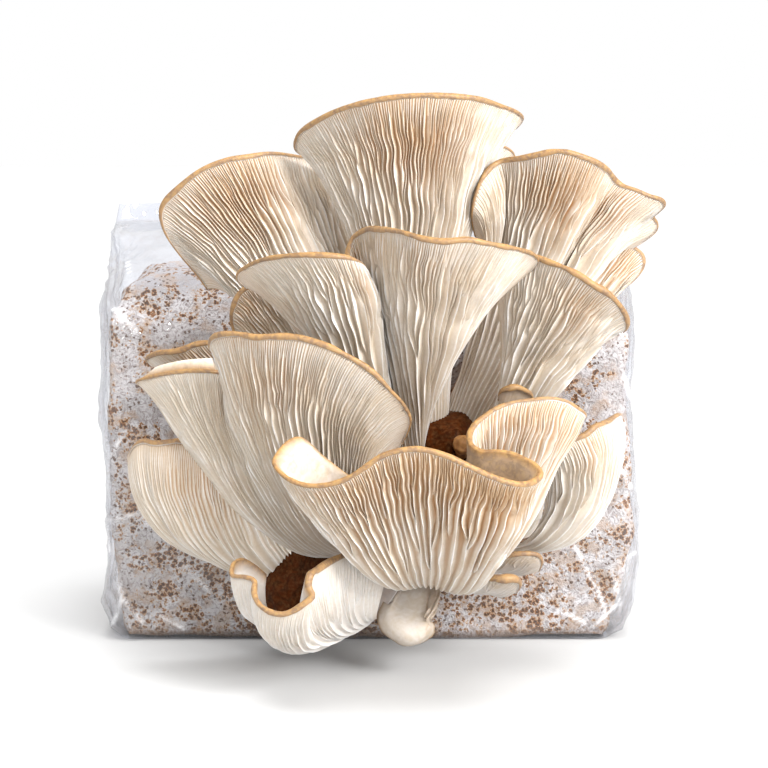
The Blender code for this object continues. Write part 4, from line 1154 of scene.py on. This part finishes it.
def dents(points, size, seed):
    """Shallow bowls with sharp edges between them: squared distance to the nearest of scattered centres."""
    scaled = points / size + 11.3 * seed
    home = np.floor(scaled).astype(int)
    nearest = np.full(len(points), 9.0)
    for step in itertools.product((-1, 0, 1), repeat=3):
        cell = home + step
        jitter = [LATTICE[tuple((cell + 7 * turn).T % LATTICE_SIZE)] for turn in range(3)]
        centre = cell + 0.5 + 0.45 * np.stack(jitter, -1)
        nearest = np.minimum(nearest, ((scaled - centre) ** 2).sum(-1))
    return nearest


sheet_rows = np.linspace(0, BAG_TOP, UP)
film_sheet = np.stack([np.column_stack([bag_outline(z, AROUND), np.full(AROUND, z)]) for z in sheet_rows])
outward = np.roll(film_sheet, -1, axis=1) - np.roll(film_sheet, 1, axis=1)
outward = unit(np.stack([outward[..., 1], -outward[..., 0], 0 * outward[..., 0]], -1)).reshape(-1, 3)
film_points = film_sheet.reshape(-1, 3)
x, y, z = film_points.T

# %% [markdown]
# ## Folds in the film
# How loose the film is decides how deep its folds may be: 0.2 where it is stretched over the block, more
# at the sides and the foot, and 1 under the seam. The creases are straight lines across the front, the
# back or a side, given by their two ends, each a thin ridge that turns white where the film is bent hard.

# %% Loose film, pleats and creases
near_corner = np.exp(-((np.abs(x) - 119) / 14) ** 2)
loose = np.clip(0.2 + 0.5 * near_corner + smoothstep((z - 150) / 20) + 0.5 * smoothstep((14 - z) / 14), 0, 1)
seam = smoothstep((z - 181) / 4)

FRONT_CREASES = (
    ((-117, 190), (-111, 170)), ((-111, 170), (-106, 158)), ((-119, 54), (-105, 58)), ((-105, 58), (-98, 52)),
    ((-119, 54), (-112, 20)), ((-112, 20), (-116, 6)), ((-112, 20), (-103, 8)), ((-114, 150), (-104, 140)),
    ((90, 46), (101, 24)), ((101, 24), (106, 12)), ((108, 34), (118, 40)), ((108, 34), (112, 16)),
    ((110, 16), (100, 6)), ((112, 120), (117, 106)), ((-84, 34), (-72, 22)), ((96, 66), (104, 58)),
    ((-108, 98), (-116, 84)), ((108, 84), (116, 70)), ((-96, 12), (-84, 5)), ((84, 14), (96, 8)),
)


def near_line(first, last, across, up):
    """Distance in mm from points of a side, seen flat, to the line between two ends."""
    first, last = np.array(first, float), np.array(last, float)
    along = last - first
    offset = np.stack([across - first[0], up - first[1]], -1)
    share = np.clip(offset @ along / (along @ along), 0, 1)
    return np.linalg.norm(offset - share[:, None] * along, axis=1)


CREASE_WIDTH = 0.9
FAR_CREASES = 46
DEPTH_SHARE = 2.2      # the bag's width over its depth, for creases scattered at the sides


def ridge(first, last, across, up):
    """1 along a crease, and nothing a few millimetres off it."""
    return np.exp(-(near_line(first, last, across, up) / CREASE_WIDTH) ** 2)


bent = np.zeros(len(film_points))
broken = 0.35 + 0.65 * smoothstep(drift(x / 4, y / 4, z / 4, 6) + 0.5)
for first, last in FRONT_CREASES:
    bent = np.maximum(bent, ridge(first, last, x, z) * (y < -30) * broken)
scatter = np.random.default_rng(21)
for _ in range(FAR_CREASES):
    across, up = scatter.uniform(-112, 112), scatter.uniform(8, 178)
    turn, reach = scatter.uniform(-1.2, 1.2), scatter.uniform(6, 20)
    for start, place, where in ((across, x, y > 30), (across / DEPTH_SHARE, y, np.abs(x) > 112)):
        end = (start + reach * math.sin(turn), up + reach * math.cos(turn))
        bent = np.maximum(bent, 0.8 * ridge((start, up), end, place, z) * where * broken)

pleats = 1 - np.abs(drift(x / 6, y / 6, z / 45, 3)) * 2
large = dents(film_points * (1, 1, 0.7), 26, 1)
middling, small = dents(film_points, 11, 2), dents(film_points, 6, 4)
push = (3.6 + 2.0 * smoothstep((z - 155) / 15)) * loose * (large - 0.25) + 0.9 * loose * (middling - 0.25)
push += (0.5 + 1.0 * loose) * (small - 0.25)
push += 0.8 * loose * pleats * smoothstep((np.abs(x) - 100) / 12) + 0.8 * bent
above = smoothstep((z - 165) / 10)
push = np.clip(push, -0.9 - 2 * above, 3.2 + above) * (1 - 0.4 * seam) * smoothstep(z / 3)
film_points = film_points + outward * push[:, None]
film_points[:, 1] += 4.5 * drift(x / 22, z / 40, 4, 5) * smoothstep((z - 165) / 20)
film_points[:, 2] += 1.8 * drift(x / 26, 2.0, 8, 2) * smoothstep((z - 165) / 25)

# %% [markdown]
# ## Clear film
# Clear film can't be drawn as glass here: a sheet has no inside, and light has to get through it easily.
# So it lets most light straight through, a little less at a grazing angle and in the sealed strip,
# mirrors some of it, more at a grazing angle, and carries a white haze, strong only along the creases.

# %% Film material and bag
film_values = {"bent": bent, "seam": seam, "loose": loose}
film = Finish("film")
clear = film.tree.nodes.new("ShaderNodeBsdfTransparent")
gloss = film.tree.nodes.new("ShaderNodeBsdfGlossy")
gloss.inputs["Roughness"].default_value = 0.04
haze = film.tree.nodes.new("ShaderNodeBsdfDiffuse")
haze.inputs["Color"].default_value = (0.95, 0.95, 0.97, 1)
grazing = film.tree.nodes.new("ShaderNodeLayerWeight").outputs["Facing"]
body = film.mix(film.between(film.value("loose"), 0.5, 1.0), tint("FCFCFD"), tint("F9FAFC"))
body = film.mix(film.between(grazing, 0.01, 0.3), body, tint("F2F3F7"))
body = film.mix(film.value("seam"), body, tint("EBEDF3"))
tinted = film.mix(film.between(grazing, 0.3, 0.95), body, tint("E2E4E8"))
film.plug(tinted, clear.inputs["Color"])
with_gloss = film.tree.nodes.new("ShaderNodeMixShader")
film.plug(film.between(grazing, 0.2, 0.95, 0.06, 0.5), with_gloss.inputs[0])
film.plug(clear.outputs[0], with_gloss.inputs[1])
film.plug(gloss.outputs[0], with_gloss.inputs[2])
with_haze = film.tree.nodes.new("ShaderNodeMixShader")
cloudiness = film.math("MAXIMUM", film.times(film.value("bent"), 0.5), film.times(film.value("loose"), 0.05))
cloudiness = film.math("MAXIMUM", cloudiness, film.times(film.value("seam"), 0.08))
film.plug(cloudiness, with_haze.inputs[0])
film.plug(with_gloss.outputs[0], with_haze.inputs[1])
film.plug(haze.outputs[0], with_haze.inputs[2])
film.plug(with_haze.outputs[0], film.tree.nodes["Material Output"].inputs["Surface"])

film_faces = []
for row in range(UP - 1):
    for column in range(AROUND):
        after = (column + 1) % AROUND
        low_row, high_row = row * AROUND, (row + 1) * AROUND
        face = (low_row + column, low_row + after, high_row + after, high_row + column)
        middle = (film_points[face[0]] + film_points[face[2]]) / 2
        inside_slit = (((middle - FUSED_BASE) / SLIT_RADII)[[0, 2]] ** 2).sum() < 1
        if not (middle[1] < -50 and inside_slit):
            film_faces.append(face)
film_faces.append(tuple(range(AROUND - 1, -1, -1)))

bag = mesh_piece("film_bag", film_points, film_faces, film_values, film.material)
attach(bag, "root")
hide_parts("grow_bag")
print("film points:", len(bag.data.vertices), "pushed out by", round(push.max(), 1), "mm at most")

# %% [markdown]
# ## Floor and light
# The picture has a white backdrop and a soft shadow just under the bag. A large light grey plane under a
# white world and a soft sun overhead gives that. A square lamp in front at the right shapes the gills, and
# two small lamps add glints to the film, in which the sun itself isn't mirrored.

# %% Floor, world and lights
def plain_floor():
    half, level = 4000, -0.2
    corners = [(-half, -half, level), (half, -half, level), (half, half, level), (-half, half, level)]
    piece = mesh_piece("floor", corners, [(0, 1, 2, 3)])
    paint = Finish("floor_paint")
    paint.plug(tint("B0B0B0"), paint.shader.inputs["Base Color"])
    paint.shader.inputs["Roughness"].default_value = 0.9
    piece.data.materials.append(paint.material)


LIT_POINT = (0, 0, 0.1)


def light(name, place, size, power):
    """A square lamp that shines towards the lit point, with its place and size in metres."""
    lamp = bpy.data.lights.new(name, "AREA")
    lamp.shape, lamp.size, lamp.energy = "SQUARE", size, power
    holder = bpy.data.objects.new(name, lamp)
    bpy.context.scene.collection.objects.link(holder)
    direction = np.array(LIT_POINT, float) - np.array(place, float)
    holder.location = place
    yaw = math.atan2(direction[0], -direction[1])
    pitch = math.atan2(np.hypot(*direction[:2]), -direction[2])
    holder.rotation_euler = (pitch, 0, yaw + math.pi)


plain_floor()
world = bpy.data.worlds.new("backdrop")
bpy.context.scene.world = world
world.use_nodes = True
world.node_tree.nodes["Background"].inputs["Color"].default_value = (1, 1, 1, 1)
world.node_tree.nodes["Background"].inputs["Strength"].default_value = 1.0
sun = bpy.data.objects.new("sun", bpy.data.lights.new("sun", "SUN"))
sun.data.energy, sun.data.angle = 4.5, math.radians(42)
sun.rotation_euler = (math.radians(5), 0, 0)
sun.visible_glossy = False
bpy.context.scene.collection.objects.link(sun)
light("key", (1.1, -1.25, 1.0), 0.8, 64)
light("glints_right", (0.35, -1.6, 0.5), 0.1, 3)
light("glints_left", (-0.6, -1.5, 0.6), 0.1, 2.5)
bpy.context.scene.view_settings.view_transform = "Standard"
